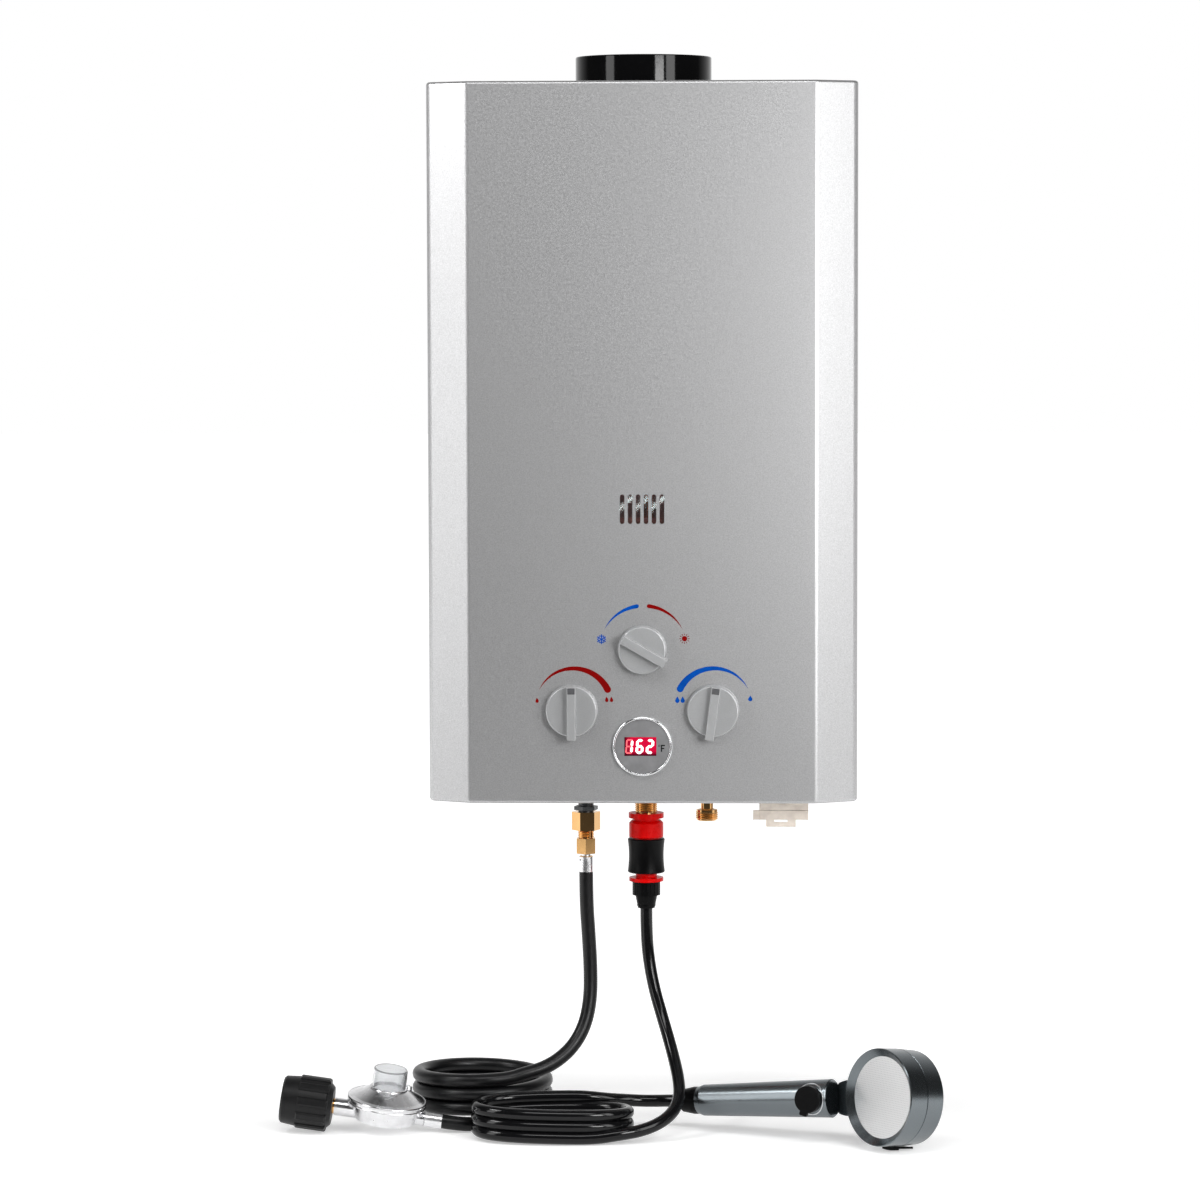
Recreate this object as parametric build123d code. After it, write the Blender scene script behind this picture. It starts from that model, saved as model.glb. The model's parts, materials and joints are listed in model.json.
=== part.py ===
from build123d import *

import math
import os

# Wall-hung portable propane water heater with its gas hose, regulator, shower hose and handset.
# Millimetres. +X is right as seen from the front, -Y points to the viewer, +Z is up.
# The origin is the hanging keyhole: the wall is the plane y = 0.

# ---- Case -------------------------------------------------------------------------------------
case_width = 416.0
case_height = 696.0
case_depth = 185.0
hanger_drop = 46.0          # case top down to the keyhole
sheet = 1.0                 # steel sheet of the cover, back plate and bottom plate
chamfer_width = 40.0        # slanted front corners, seen from the front
chamfer_depth = 20.0
fold_radius = 8.0
rim_radius = 3.0
bottom_lip = 12.0
panel_gap = 0.3             # between sheets that slide together
edge_break = 1.0            # small bevel on turned and moulded edges
flange_depth = 18.0
keyhole_head_radius = 6.5
keyhole_slot_radius = 3.0
keyhole_length = 14.0
lower_screw_spacing = 300.0
lower_screw_height = 32.0   # above the case bottom
lower_screw_radius = 3.0
cover_screw_radius = 4.0
cover_screw_head = 2.0
cover_screw_shank = 2.0
cover_screw_length = 8.0
cover_screw_setback = 9.0   # behind the wall plane, in front of the side flange's root
cover_screw_inset = 60.0    # from the case top and bottom

# ---- Flue -------------------------------------------------------------------------------------
flue_radius = 66.5
flue_height = 26.5          # above the case top
flue_wall = 1.2
flue_y = -90.0
flue_socket = 10.0          # the hood's neck inside it, above the case top
flue_hole_gap = 0.5

# ---- View slots, knobs and display on the front -----------------------------------------------
slot_count = 6
slot_pitch = 7.67
slot_width = 4.4
slot_height = 28.6
slot_rise = 20.3            # burner's top up to the middle of the slots
glass_width = 60.0
glass_height = 44.0
glass_thickness = 3.0
knob_spread = 68.3          # gas and water knobs, each side of the centre
knob_height = 90.5          # above the case bottom, like the next
season_height = 149.5
knob_radius = 25.6
season_radius = 23.8
knob_skirt = 9.0
knob_grip_width = 9.4
knob_grip_rise = 9.0
knob_grip_overhang = 2.4
knob_float = 1.0            # panel to knob skirt
knob_draft = 1.2
knob_edge = 1.2
knob_grip_taper = 2.0       # degrees
gas_rest_angle = 0.0        # pointers, clockwise from upright, degrees
water_rest_angle = 7.5
season_rest_angle = -60.0
spindle_radius = 4.0
spindle_flat = 1.0
spindle_grip = 12.0         # spindle inside the knob
spindle_hole_gap = 2.0
running_gap = 0.05
display_height = 55.8       # above the case bottom
bezel_radius = 28.8
bezel_height = 4.0
display_radius = 27.2
display_flange = 2.4
display_barrel = 25.5
display_barrel_gap = 0.5
display_depth = 26.0
led_width = 31.0
led_height = 18.3
led_recess = 0.9
led_offset = -2.0

# ---- Heat exchanger, burner and valves --------------------------------------------------------
chamber_width = 250.0
chamber_depth = 124.0
chamber_top = -30.0
copper_sheet = 1.2
hood_neck_height = 24.0
fin_count = 11
fin_thickness = 0.8
fin_height = 58.0
fin_span = 220.0
pipe_radius = 7.0
pipe_bend = 20.0
pipe_rows = 3
pipe_clearance = 2.0        # chamber wall to the pipe that goes round it
pipe_wall_gap = 8.0         # back plate to the pipe behind the burner
outlet_straight = 5.0       # pipe above the hot outlet, before its bend
row_pitch = 42.0
exchanger_z = -60.0
burner_count = 10
burner_pitch = 20.0
burner_width = 12.0
burner_lift = 70.0          # gas valve's top up to the burner's foot
flame_gap = 50.0            # burner's top up to the chamber
burner_height = 45.0
burner_mouth = 18.0
burner_slot = 4.0
rail_height = 10.0
rail_thickness = 4.0
end_plate = 2.0
manifold_size = 16.0
nozzle_radius = 3.0
nozzle_length = 8.0
season_block = 28.0
season_block_drop = 85.0
gas_valve_width = 45.0
gas_valve_depth = 75.0
gas_valve_height = 100.0
gas_valve_lift = 50.0       # above the case bottom
valve_front = -165.0
valve_boss = 10.0           # spindle boss in front of the gas valve's body
spindle_boss_radius = 12.0
spindle_depth = 30.0        # spindle inside the valve
bore_end_gap = 1.0
riser_radius = 8.0
water_disc_radius = 34.0
water_disc_width = 24.0
water_disc_flange = 3.0
water_disc_lift = 60.0      # the disc's axis above the case bottom
water_disc_shift = 4.0      # the disc's outer face past the knob's axis
valve_y = -100.0
cold_pipe_lift = 5.0        # above the diaphragm's centre
cold_pipe_bend = 19.0
push_rod_radius = 3.0
push_rod_travel = 4.0
push_rod_overlap = 6.0
push_collar_radius = 6.0
push_collar_width = 4.0
switch_length = 28.0
switch_width = 10.0
switch_height = 16.0
switch_lift = 7.0
solenoid_radius = 12.0
solenoid_length = 30.0
igniter_width = 60.0
igniter_depth = 40.0
igniter_height = 90.0
igniter_side = 63.0         # its middle from the case's left side
igniter_lift = 135.0        # its middle above the case bottom
electrode_spread = 15.0
electrode_radius = 1.5
ceramic_radius = 3.5

# ---- Connections under the case: a drop is measured down from the case bottom -----------------
gas_inlet_x = -58.0
hot_outlet_x = 1.5
cold_inlet_x = 61.5
gas_pipe_radius = 7.6
gas_pipe_bore = 5.0
gas_pipe_crown = 5.0        # solid end inside the gas valve's foot
gas_collar_flats = 21.0
gas_collar_drops = (16.3, 12.6)
gas_collar_turn = 15.0      # degrees
adapter_flats = 24.4
adapter_turn = 7.5
adapter_drops = (36.2, 18.1)
adapter_socket = 10.0
adapter_neck_radius = 7.4
adapter_neck_bore = 4.0
flare_flats = 18.4
flare_turn = 30.0           # a corner forward
flare_drops = (59.6, 44.4)
flare_engagement = 8.6
stem_radius = 4.7
stem_bore = 3.0
ferrule_radius = 7.3
ferrule_drops = (77.8, 61.9)
outlet_radius = 10.48       # 1/2-inch pipe thread
outlet_bore = 7.0
outlet_drop = 30.0
outlet_lift = 10.0          # its top above the case bottom
outlet_crown = 3.0          # solid end round the pipe
cold_neck_radius = 6.1
cold_cap_drops = (26.5, 15.8)
cold_bore = 5.0
adaptor_drops = (19.0, 24.0, 26.5, 42.9)
adaptor_flange_radius = 17.4
adaptor_neck_radius = 13.2
adaptor_body_radius = 17.0
adaptor_chamfer = 2.5
spigot_radius = 8.0
spigot_drop = 65.0
waterway_radius = 4.5
sleeve_drops = (78.3, 44.4)
sleeve_radius = 18.4
sleeve_waist = 1.2
barrel_radius = 14.6
barrel_drop = 44.0
connector_neck_radius = 10.6
connector_flange_drops = (86.8, 83.3)
connector_flange_radius = 17.0
connector_tail_radius = 9.5
connector_tail_drop = 98.0
hose_nut_drops = (100.7, 87.0)
hose_nut_radius = 13.8
hose_nut_ribs = 20
hose_nut_rib_depth = 1.0
hose_cone_drop = 113.7
hose_cone_radii = (11.0, 8.4)

# ---- Battery box ------------------------------------------------------------------------------
battery_box_side = 70.6     # its middle from the case's right side
battery_box_width = 48.2
battery_box_front = -107.0
battery_box_depth = 74.0
battery_contact_gap = 0.4   # under the cells
battery_seam_drop = 15.7    # below the case bottom, like the next
battery_lid_drop = 25.4
battery_wall = 1.6
battery_lid_gap = 0.4
battery_flange = 4.0
battery_flange_thickness = 2.0
cell_radius = 16.6
cell_length = 60.0
cell_nub_radius = 4.75
cell_nub_height = 1.5
lid_pin_radius = 1.5
lid_ear_width = 5.0
lid_ear_radius = 3.2
lid_axis_back = 4.5         # behind the box's rear wall
tab_width = 29.6
tab_slot_width = 13.0
tab_drop = 7.0
tab_bar = 4.6
tab_thickness = 3.0
tab_offset = -3.0
clip_width = 6.3
clip_thickness = 4.0

# ---- Floor level, gas hose and regulator ------------------------------------------------------
floor_z = -975.0
arc_share = 0.45            # of the shorter run, for the arcs of a hose
gas_hose_radius = 6.95
gas_coil_centre = (-162.0, -92.0)
gas_coil_radius = 63.0      # to the hose's centre line
gas_coil_height = 56.0
gas_drop_points = [
    (-58.0, -100.0, -727.8), (-58.0, -100.0, -757.0), (-55.6, -100.0, -792.0), (-53.8, -101.5, -825.0),
    (-53.9, -105.5, -853.5), (-58.7, -112.5, -878.5), (-69.7, -122.5, -898.0), (-85.0, -132.5, -911.0),
    (-101.0, -140.0, -918.5), (-117.0, -145.5, -922.0),
]
gas_tail_points = [
    (-197.0, -174.0, -964.2), (-183.1, -174.0, -966.15), (-168.0, -169.5, -968.05), (-150.0, -157.5, -968.0),
]
regulator_lean = 6.0        # the dome leans to the viewer
regulator_radius = 38.0
regulator_centre = -56.0    # along its axis from the hose's end
bowl_depth = 9.5
bowl_floor_radius = 19.0
bowl_knee = (29.6, -5.7)    # radius and height
rim_z = (9.5, 16.5)
rim_lip = 3.0               # rim stands out over the bowl
dome_step = 4.0
dome_height = 26.0
dome_shoulder = 17.5
dome_rise = 2.0             # of the rounded shoulder
outlet_boss_radius = 7.0
outlet_boss_end = -17.5      # where the ferrule starts
inlet_boss_radius = 8.6
inlet_boss_end = -106.0
reg_cap_radius = 16.7
reg_cap_height = 20.0
reg_cap_wall = 1.6
nipple_radius = 7.5
nipple_flange_radius = 12.0
nipple_flange_x = (-141.0, -137.0)
nipple_tip = -152.0
nipple_tip_radius = 6.0
nipple_root = -80.0
nipple_shoulder_radius = 7.0
wheel_mouth = -158.0
wheel_bore_radius = 17.0
wheel_bore_end = -136.5
wheel_end = -108.0
wheel_rib_radius = 26.5
wheel_rib_count = 10
wheel_rib_width = 9.0
wheel_body_radius = 24.6
wheel_rib_root = 3.0        # rib inside the drum
wheel_rib_start = 4.0       # from the wheel's rear face
wheel_rib_bevel = 1.5
wheel_shoulder = 6.0        # rear bevel
wheel_lip_length = 17.0     # plain mouth in front of the ribs
wheel_lip_radii = (23.1, 21.1)
wheel_lip_bevel = 2.0
reg_stem_radius = 4.7
reg_stem_depth = 10.0

# ---- Shower hose ------------------------------------------------------------------------------
shower_hose_radius = 6.05
shower_coil_centre = (-87.7, -200.0)
shower_coil_half_length = 73.0
shower_coil_half_depth = 35.0
shower_coil_height = 40.0
shower_drop_points = [
    (1.5, -100.0, -763.7), (1.5, -100.0, -790.0), (4.2, -102.0, -818.0), (9.6, -107.0, -845.0),
    (16.6, -116.0, -867.4), (23.2, -129.0, -887.1), (29.4, -146.0, -905.9), (34.1, -164.0, -922.3),
    (35.8, -181.0, -936.9), (30.2, -197.0, -949.6), (16.0, -211.5, -958.5), (-2.5, -222.5, -963.5),
    (-23.0, -229.5, -965.6),
]
shower_tail_points = [
    (-58.1, -162.8, -941.0), (-37.8, -157.4, -944.3), (-19.3, -147.5, -947.3), (1.0, -142.1, -949.3),
]
shower_tail_run = 20.0      # last straight run, into the handset's nut

# ---- Shower handset ---------------------------------------------------------------------------
handle_start = (55.0, -160.0, -944.9)
handle_run = (188.0, -91.5, 21.0)   # direction, to the head
handle_length = 144.0
handle_radii = (15.2, 18.6)
handle_shoulder = (5.5, 1.8)        # length and depth of the bevel at the hose end
handle_edge = 1.0
handset_nut_length = 17.0
handset_nut_radii = (11.2, 13.3)
neck_length = 12.0
neck_seal_step = 1.2                # the seal between neck and drum is this much narrower
head_reach = 65.6                   # from the handle's end to the head's centre
head_facing = (-0.757, -0.642, 0.12)
head_radius = 46.6
head_rear_radius = 45.2
head_thickness = 45.0
head_bevel = 0.8
head_edge = 2.0
head_seam_share = 0.52              # of the thickness, from the rear
head_seam = 1.0
face_radius = 39.0
face_recess = 5.6
face_thickness = 2.3
face_gap = 0.1
shutoff_setback = 17.0              # from the handle's head end
shutoff_rise = 7.0                  # degrees up round the handle's side
shutoff_radius = 13.2
shutoff_flat = 1.5                  # cut into the handle's side
shutoff_height = 7.0
shutoff_tab_length = 2.9
shutoff_tab_width = 7.8
shutoff_spigot_radius = 6.0
shutoff_spigot_depth = 6.0
shutoff_tab_angle = -107.6
mode_gap = 0.3
mode_thickness = 2.0
mode_sector = 26.0                  # degrees
mode_axial = (-19.0, 5.0)
mode_tab_height = 3.4
mode_tab_sector = 15.0
mode_tab_axial = (-5.0, 5.0)

# ---- Worked out from the sizes above ----------------------------------------------------------
top_z = hanger_drop
bottom_z = top_z - case_height


def below(*drops):
    """Heights at those drops under the case's bottom."""
    return [bottom_z - drop for drop in drops]


knob_z = bottom_z + knob_height
season_z = bottom_z + season_height
display_z = bottom_z + display_height
igniter_x = igniter_side - case_width / 2
igniter_z = bottom_z + igniter_lift
water_disc_z = bottom_z + water_disc_lift
gas_valve_bottom = bottom_z + gas_valve_lift
gas_valve_top = gas_valve_bottom + gas_valve_height
burner_bottom = gas_valve_top + burner_lift
burner_top = burner_bottom + burner_height
slot_z = burner_top + slot_rise
chamber_bottom = burner_top + flame_gap
gas_collar_z = below(*gas_collar_drops)
adapter_z = below(*adapter_drops)
flare_z = below(*flare_drops)
ferrule_z = below(*ferrule_drops)
adaptor_z = below(*adaptor_drops)
sleeve_z = below(*sleeve_drops)
connector_flange_z = below(*connector_flange_drops)
hose_nut_z = below(*hose_nut_drops)
cold_cap_z = below(*cold_cap_drops)
outlet_bottom, spigot_bottom, barrel_top = below(outlet_drop, spigot_drop, barrel_drop)
outlet_top = bottom_z + outlet_lift
connector_tail_bottom, hose_cone_bottom = below(connector_tail_drop, hose_cone_drop)
battery_box_x = case_width / 2 - battery_box_side
battery_seam_z, battery_lid_bottom = below(battery_seam_drop, battery_lid_drop)
front_y = -case_depth
panel_inside_y = front_y + sheet
chamber_front = flue_y - chamber_depth / 2
chamber_back = flue_y + chamber_depth / 2
burner_front = chamber_front
burner_back = chamber_back
manifold_front = burner_front - nozzle_length - manifold_size
gas_valve_x = (-knob_spread - gas_valve_width / 2, -knob_spread + gas_valve_width / 2)
water_disc_right = knob_spread + water_disc_shift
water_disc_x = (water_disc_right - water_disc_width, water_disc_right)
knob_back_y = front_y - knob_float
pipe_back_y = -sheet - pipe_radius - pipe_wall_gap
pipe_side_x = chamber_width / 2 + pipe_radius + pipe_clearance
cell_bottom = battery_lid_bottom + battery_wall + battery_contact_gap
battery_box_top = cell_bottom + cell_length + cell_nub_height + battery_wall
lid_axis = (battery_box_front + battery_box_depth + lid_axis_back, battery_seam_z)


regulator_tilt = math.degrees(math.atan2(
    gas_tail_points[0][2] - gas_tail_points[1][2], gas_tail_points[1][0] - gas_tail_points[0][0]))
handle_along = Vector(*handle_run).normalized()
head_centre = Vector(*handle_start) + handle_along * (handle_length + head_reach)
shower_tail_end = Vector(*handle_start) - handle_along * handset_nut_length
shower_tail_points += [shower_tail_end - handle_along * shower_tail_run, shower_tail_end]


# ---- Shapes used again and again --------------------------------------------------------------
def turned(outline, place=Location((0, 0, 0))):
    """A solid of revolution about the place's Z axis, from (radius, height) points."""
    face = make_face(Polyline([(radius, 0, height) for radius, height in outline], close=True))
    return place * revolve(face, Axis.Z)


def block(xs, ys, zs):
    """A box between two X, two Y and two Z values."""
    centre = ((xs[0] + xs[1]) / 2, (ys[0] + ys[1]) / 2, (zs[0] + zs[1]) / 2)
    return Pos(*centre) * Box(abs(xs[1] - xs[0]), abs(ys[1] - ys[0]), abs(zs[1] - zs[0]))


def upright(radius, zs, x, y):
    """A cylinder along Z."""
    return Pos(x, y, min(zs)) * extrude(Circle(radius), abs(zs[1] - zs[0]))


def crossbar(radius, xs, y, z):
    """A cylinder along X."""
    plane = Plane(origin=(min(xs), y, z), z_dir=(1, 0, 0))
    return extrude(plane * Circle(radius), abs(xs[1] - xs[0]))


def forward(radius, ys, x, z):
    """A cylinder along Y."""
    plane = Plane(origin=(x, min(ys), z), z_dir=(0, 1, 0))
    return extrude(plane * Circle(radius), abs(ys[1] - ys[0]))


def hexagon(flats, zs, x, y, turn=0.0):
    """A hexagonal prism along Z."""
    outline = Rot(0, 0, turn) * RegularPolygon(flats / 2, 6, major_radius=False)
    return Pos(x, y, min(zs)) * extrude(outline, abs(zs[1] - zs[0]))


def bent_pipe(points, radius, bend):
    """A solid pipe along straight runs with equal bends."""
    path = FilletPolyline(*points, radius=bend)
    return sweep(Plane(origin=path @ 0, z_dir=path % 0) * Circle(radius), path)


def hose(name, points, radius):
    """A hose along straight runs joined by tangent arcs, each as large as its runs allow."""
    radii = []
    for before, corner, after in zip(points, points[1:], points[2:]):
        arriving = Vector(*corner) - Vector(*before)
        leaving = Vector(*after) - Vector(*corner)
        half_turn = math.radians(arriving.get_angle(leaving)) / 2
        radii.append(arc_share * min(arriving.length, leaving.length) / math.tan(half_turn))
    path = FilletPolyline(*points, radius=radii)
    solid = sweep(Plane(origin=path @ 0, z_dir=path % 0) * Circle(radius), path)
    expected = math.pi * radius**2 * path.length
    print(name, "length", round(path.length, 1), "volume ratio", round(solid.volume / expected, 4))
    print("  arc radii", [round(value) for value in radii])
    return solid


# ---- Case -------------------------------------------------------------------------------------
def case_outline(inset=0.0):
    """The case seen from above: straight sides and two slanted front corners."""
    side = case_width / 2
    corner_y = front_y + chamfer_depth
    front = case_width / 2 - chamfer_width
    points = [(-side, 0), (-side, corner_y), (-front, front_y), (front, front_y), (side, corner_y), (side, 0)]
    face = make_face(Polyline(points, close=True))
    folds = [vertex for vertex in face.vertices() if vertex.Y < corner_y / 2]
    face = fillet(folds, fold_radius)
    if inset:
        face = offset(face, -inset, kind=Kind.INTERSECTION)
    return face


def view_slots(depth):
    """The row of flame-view slots, as a cutting tool that starts in front of the panel."""
    slot = SlotOverall(slot_height, slot_width, rotation=90)
    plane = Plane(origin=(0, front_y - 1, slot_z), x_dir=(1, 0, 0), z_dir=(0, 1, 0))
    first = -slot_pitch * (slot_count - 1) / 2
    places = [Pos(first + slot_pitch * number, 0) for number in range(slot_count)]
    return [extrude(plane * place * slot, depth) for place in places]


def knob_places():
    """Centre (x, z) of the gas, water and season knobs."""
    return {"gas": (-knob_spread, knob_z), "water": (knob_spread, knob_z), "season": (0.0, season_z)}


def front_cover():
    """Sides, slanted corners, front and top in one pressing, with a lip round the open bottom."""
    outer = Pos(0, 0, bottom_z) * extrude(case_outline(), case_height)
    ends = outer.faces().sort_by(Axis.Z)
    rims = [edge for edge in ends[0].edges() + ends[-1].edges() if edge.center().Y < -sheet]
    outer = fillet(rims, rim_radius)
    inner = Pos(0, 0, bottom_z + sheet) * extrude(case_outline(sheet), case_height - 2 * sheet)
    inside = case_width / 2 - sheet
    rear = block((-inside, inside), (-2 * sheet, sheet), (bottom_z + sheet, top_z - sheet))
    opening = Pos(0, 0, bottom_z - sheet) * extrude(case_outline(bottom_lip), 3 * sheet)
    cover = outer - inner - rear - opening
    lip_end = inside - bottom_lip
    cover -= block((-lip_end, lip_end), (-2 * bottom_lip, sheet), (bottom_z - sheet, bottom_z + sheet))
    cover -= upright(flue_radius + flue_hole_gap, (top_z - 2 * sheet, top_z + sheet), 0, flue_y)
    cover -= view_slots(3 * sheet)
    panel = (front_y - sheet, front_y + 2 * sheet)
    for x, z in knob_places().values():
        cover -= forward(spindle_radius + spindle_hole_gap, panel, x, z)
    cover -= forward(display_barrel + display_barrel_gap, panel, 0, display_z)
    for side in (-1, 1):
        for z in cover_screw_heights():
            wall = (side * (inside - sheet), side * (case_width / 2 + sheet))
            cover -= crossbar(cover_screw_shank, wall, -cover_screw_setback, z)
    return cover


def cover_screw_heights():
    return (top_z - cover_screw_inset, bottom_z + cover_screw_inset)


def back_plate():
    """The plate that hangs on the wall, with side flanges that the cover screws to."""
    half = case_width / 2 - sheet - panel_gap
    zs = (bottom_z + 2 * sheet, top_z - sheet - panel_gap)
    through = (-2 * sheet, sheet)
    plate = block((-half, half), (-sheet, 0), zs)
    for side in (-1, 1):
        plate += block((side * (half - sheet), side * half), (-flange_depth, 0), zs)
        for z in cover_screw_heights():
            flange = (side * (half - 2 * sheet), side * (half + sheet))
            plate -= crossbar(cover_screw_shank, flange, -cover_screw_setback, z)
    plate -= forward(keyhole_slot_radius, through, 0, 0)
    plate -= forward(keyhole_head_radius, through, 0, -keyhole_length)
    plate -= block((-keyhole_slot_radius, keyhole_slot_radius), through, (-keyhole_length, 0))
    for side in (-1, 1):
        x = side * lower_screw_spacing / 2
        plate -= forward(lower_screw_radius, through, x, bottom_z + lower_screw_height)
    return plate


def bottom_plate():
    """Closes the bottom inside the cover's lip; the three connections and the battery box pass it."""
    plate = Pos(0, 0, bottom_z + sheet) * extrude(case_outline(sheet + panel_gap), sheet)
    through = (bottom_z, bottom_z + 3 * sheet)
    plate -= upright(gas_pipe_radius, through, gas_inlet_x, valve_y)
    plate -= upright(outlet_radius, through, hot_outlet_x, valve_y)
    plate -= upright(cold_neck_radius, through, cold_inlet_x, valve_y)
    return plate - block(battery_xs(), battery_ys(), through)


def cover_screws():
    """Four screws that hold the cover's sides to the back plate's flanges."""
    screws = []
    for side in (-1, 1):
        outside = side * case_width / 2
        head_ends = (outside, outside + side * cover_screw_head)
        shank_ends = (outside, outside - side * cover_screw_length)
        for z in cover_screw_heights():
            head = crossbar(cover_screw_radius, head_ends, -cover_screw_setback, z)
            screws.append(head + crossbar(cover_screw_shank, shank_ends, -cover_screw_setback, z))
    return Compound(children=screws)


def flue_collar():
    """The round flue socket: it sits on the hood's neck, and a flue pipe slips over it."""
    low = top_z + panel_gap
    top = top_z + flue_height
    inner = flue_radius - flue_wall
    return turned([
        (inner, low), (flue_radius, low), (flue_radius, top - edge_break),
        (flue_radius - edge_break / 2, top), (inner, top),
    ], Location((0, flue_y, 0)))


def view_glass():
    """The pane behind the flame-view slots."""
    half = glass_width / 2
    zs = (slot_z - glass_height / 2, slot_z + glass_height / 2)
    return block((-half, half), (panel_inside_y, panel_inside_y + glass_thickness), zs)


# ---- Knobs, spindles and display --------------------------------------------------------------
def knob_frame(x, z, angle):
    """Local Z points to the viewer; local Y is the pointer, turned clockwise by the angle."""
    return Plane(origin=(x, knob_back_y, z), x_dir=(1, 0, 0), z_dir=(0, -1, 0)).location * Rot(0, 0, -angle)


def knob(radius, x, z, angle):
    """A tapered skirt with a bar grip; the bar's tail stands out over the skirt's edge."""
    skirt = extrude(Circle(radius), knob_skirt, taper=math.degrees(math.atan(knob_draft / knob_skirt)))
    skirt = fillet(skirt.edges().sort_by(Axis.Z)[-1], knob_edge)
    length = 2 * radius + knob_grip_overhang - knob_draft
    shift = -(knob_grip_overhang + knob_draft) / 2
    grip = Pos(0, shift, 0) * RectangleRounded(knob_grip_width, length, knob_edge)
    rise = knob_skirt + knob_grip_rise - knob_float
    bar = Pos(0, 0, knob_float) * extrude(grip, rise, taper=knob_grip_taper)
    bar = fillet(bar.faces().sort_by(Axis.Z)[-1].edges(), knob_edge / 2)
    body = skirt + bar - extrude(spindle_section(), spindle_grip)
    return knob_frame(x, z, angle) * body


def spindle_section():
    """A round shaft with a flat."""
    cut = Pos(0, spindle_radius) * Rectangle(2 * spindle_radius, 2 * spindle_flat)
    return Circle(spindle_radius) - cut


def spindle(x, z, angle):
    """The valve's shaft: flatted in the knob, round in the valve."""
    flatted = knob_frame(x, z, angle) * extrude(spindle_section(), spindle_grip)
    return flatted + forward(spindle_radius, (knob_back_y, valve_front + spindle_depth), x, z)


def spindle_bore(x, z):
    """The bore of a valve for its spindle, open at the front."""
    ends = (valve_front - sheet, valve_front + spindle_depth + bore_end_gap)
    return forward(spindle_radius + running_gap, ends, x, z)


def display_bezel():
    """The bright ring round the display."""
    ring = forward(bezel_radius, (front_y - bezel_height, front_y), 0, display_z)
    ring = fillet(ring.edges().sort_by(Axis.Y)[0], knob_edge)
    return ring - forward(display_radius, (front_y - 2 * bezel_height, front_y + sheet), 0, display_z)


def led_box(front, back):
    half = led_width / 2
    zs = (display_z - led_height / 2, display_z + led_height / 2)
    return block((led_offset - half, led_offset + half), (front, back), zs)


def display_unit():
    """The display's round face, recessed for the window, and its barrel behind the panel."""
    face_y = front_y - display_flange
    unit = forward(display_radius, (face_y, front_y), 0, display_z)
    unit += forward(display_barrel, (front_y, front_y + display_depth), 0, display_z)
    return unit - led_box(face_y - sheet, face_y + led_recess)


def led_window():
    face_y = front_y - display_flange
    return led_box(face_y + led_recess / 3, face_y + led_recess)


# ---- Heat exchanger ---------------------------------------------------------------------------
def smoke_hood():
    """Tapers from the chamber's rectangle to the round neck that carries the flue collar."""
    top = top_z + flue_socket
    return hood_form(0.0, top) - hood_form(copper_sheet, top + sheet)


def hood_form(inset, top):
    """The hood's outside, or with an inset its inside."""
    neck_bottom = top_z - hood_neck_height
    radius = flue_radius - flue_wall - inset
    low = Pos(0, flue_y, chamber_top) * Rectangle(chamber_width - 2 * inset, chamber_depth - 2 * inset)
    high = Pos(0, flue_y, neck_bottom) * Circle(radius)
    taper = loft([low.face(), high.face()], ruled=True)
    return taper + upright(radius, (neck_bottom, top), 0, flue_y)


def pipe_row_ys():
    """The pipe rows from the back to the front."""
    return [flue_y + row_pitch * (number - (pipe_rows - 1) / 2) for number in range(pipe_rows)][::-1]


def combustion_shell():
    """The copper box round the flame and the fins, open above and below."""
    half = chamber_width / 2
    zs = (chamber_bottom, chamber_top)
    shell = block((-half, half), (chamber_front, chamber_back), zs)
    inside = half - copper_sheet
    shell -= block((-inside, inside), (chamber_front + copper_sheet, chamber_back - copper_sheet),
                   (chamber_bottom - 1, chamber_top + 1))
    for y in pipe_row_ys():
        shell -= crossbar(pipe_radius, (-half - 1, half + 1), y, exchanger_z)
    return shell


def fin_pack():
    """Thin copper fins across the chamber, threaded on the three pipe rows."""
    pitch = fin_span / (fin_count - 1)
    zs = (exchanger_z - fin_height / 2, exchanger_z + fin_height / 2)
    fins = []
    for number in range(fin_count):
        x = -fin_span / 2 + pitch * number
        fin = block((x - fin_thickness / 2, x + fin_thickness / 2),
                    (chamber_front + copper_sheet, chamber_back - copper_sheet), zs)
        for y in pipe_row_ys():
            fin -= crossbar(pipe_radius, (x - 1, x + 1), y, exchanger_z)
        fins.append(fin)
    return Compound(children=fins)


def exchanger_pipe():
    """One copper pipe: three passes through the fins, then a turn round the chamber."""
    back, middle, front = pipe_row_ys()
    turn_x = chamber_width / 2 + pipe_bend + pipe_radius
    wrap_y = chamber_front - pipe_radius - pipe_clearance
    wrap_z = (chamber_top + chamber_bottom) / 2
    fall = 2 * pipe_radius
    points = [
        (pipe_side_x + pipe_bend, back, exchanger_z), (-turn_x, back, exchanger_z),
        (-turn_x, middle, exchanger_z), (turn_x, middle, exchanger_z),
        (turn_x, front, exchanger_z), (-turn_x, front, exchanger_z),
        (-turn_x, front, wrap_z), (-turn_x, wrap_y, wrap_z - fall), (turn_x, wrap_y, wrap_z - 2 * fall),
        (turn_x, pipe_back_y, wrap_z - 3 * fall), (hot_outlet_x, pipe_back_y, wrap_z - 4 * fall),
        (hot_outlet_x, pipe_back_y, wrap_z - 4 * fall - 2 * pipe_bend),
    ]
    return bent_pipe(points, pipe_radius, pipe_bend)


def exchanger_outlet_z():
    """Height of the joint between the exchanger and the hot pipe."""
    return (chamber_top + chamber_bottom) / 2 - 8 * pipe_radius - 2 * pipe_bend


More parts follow.
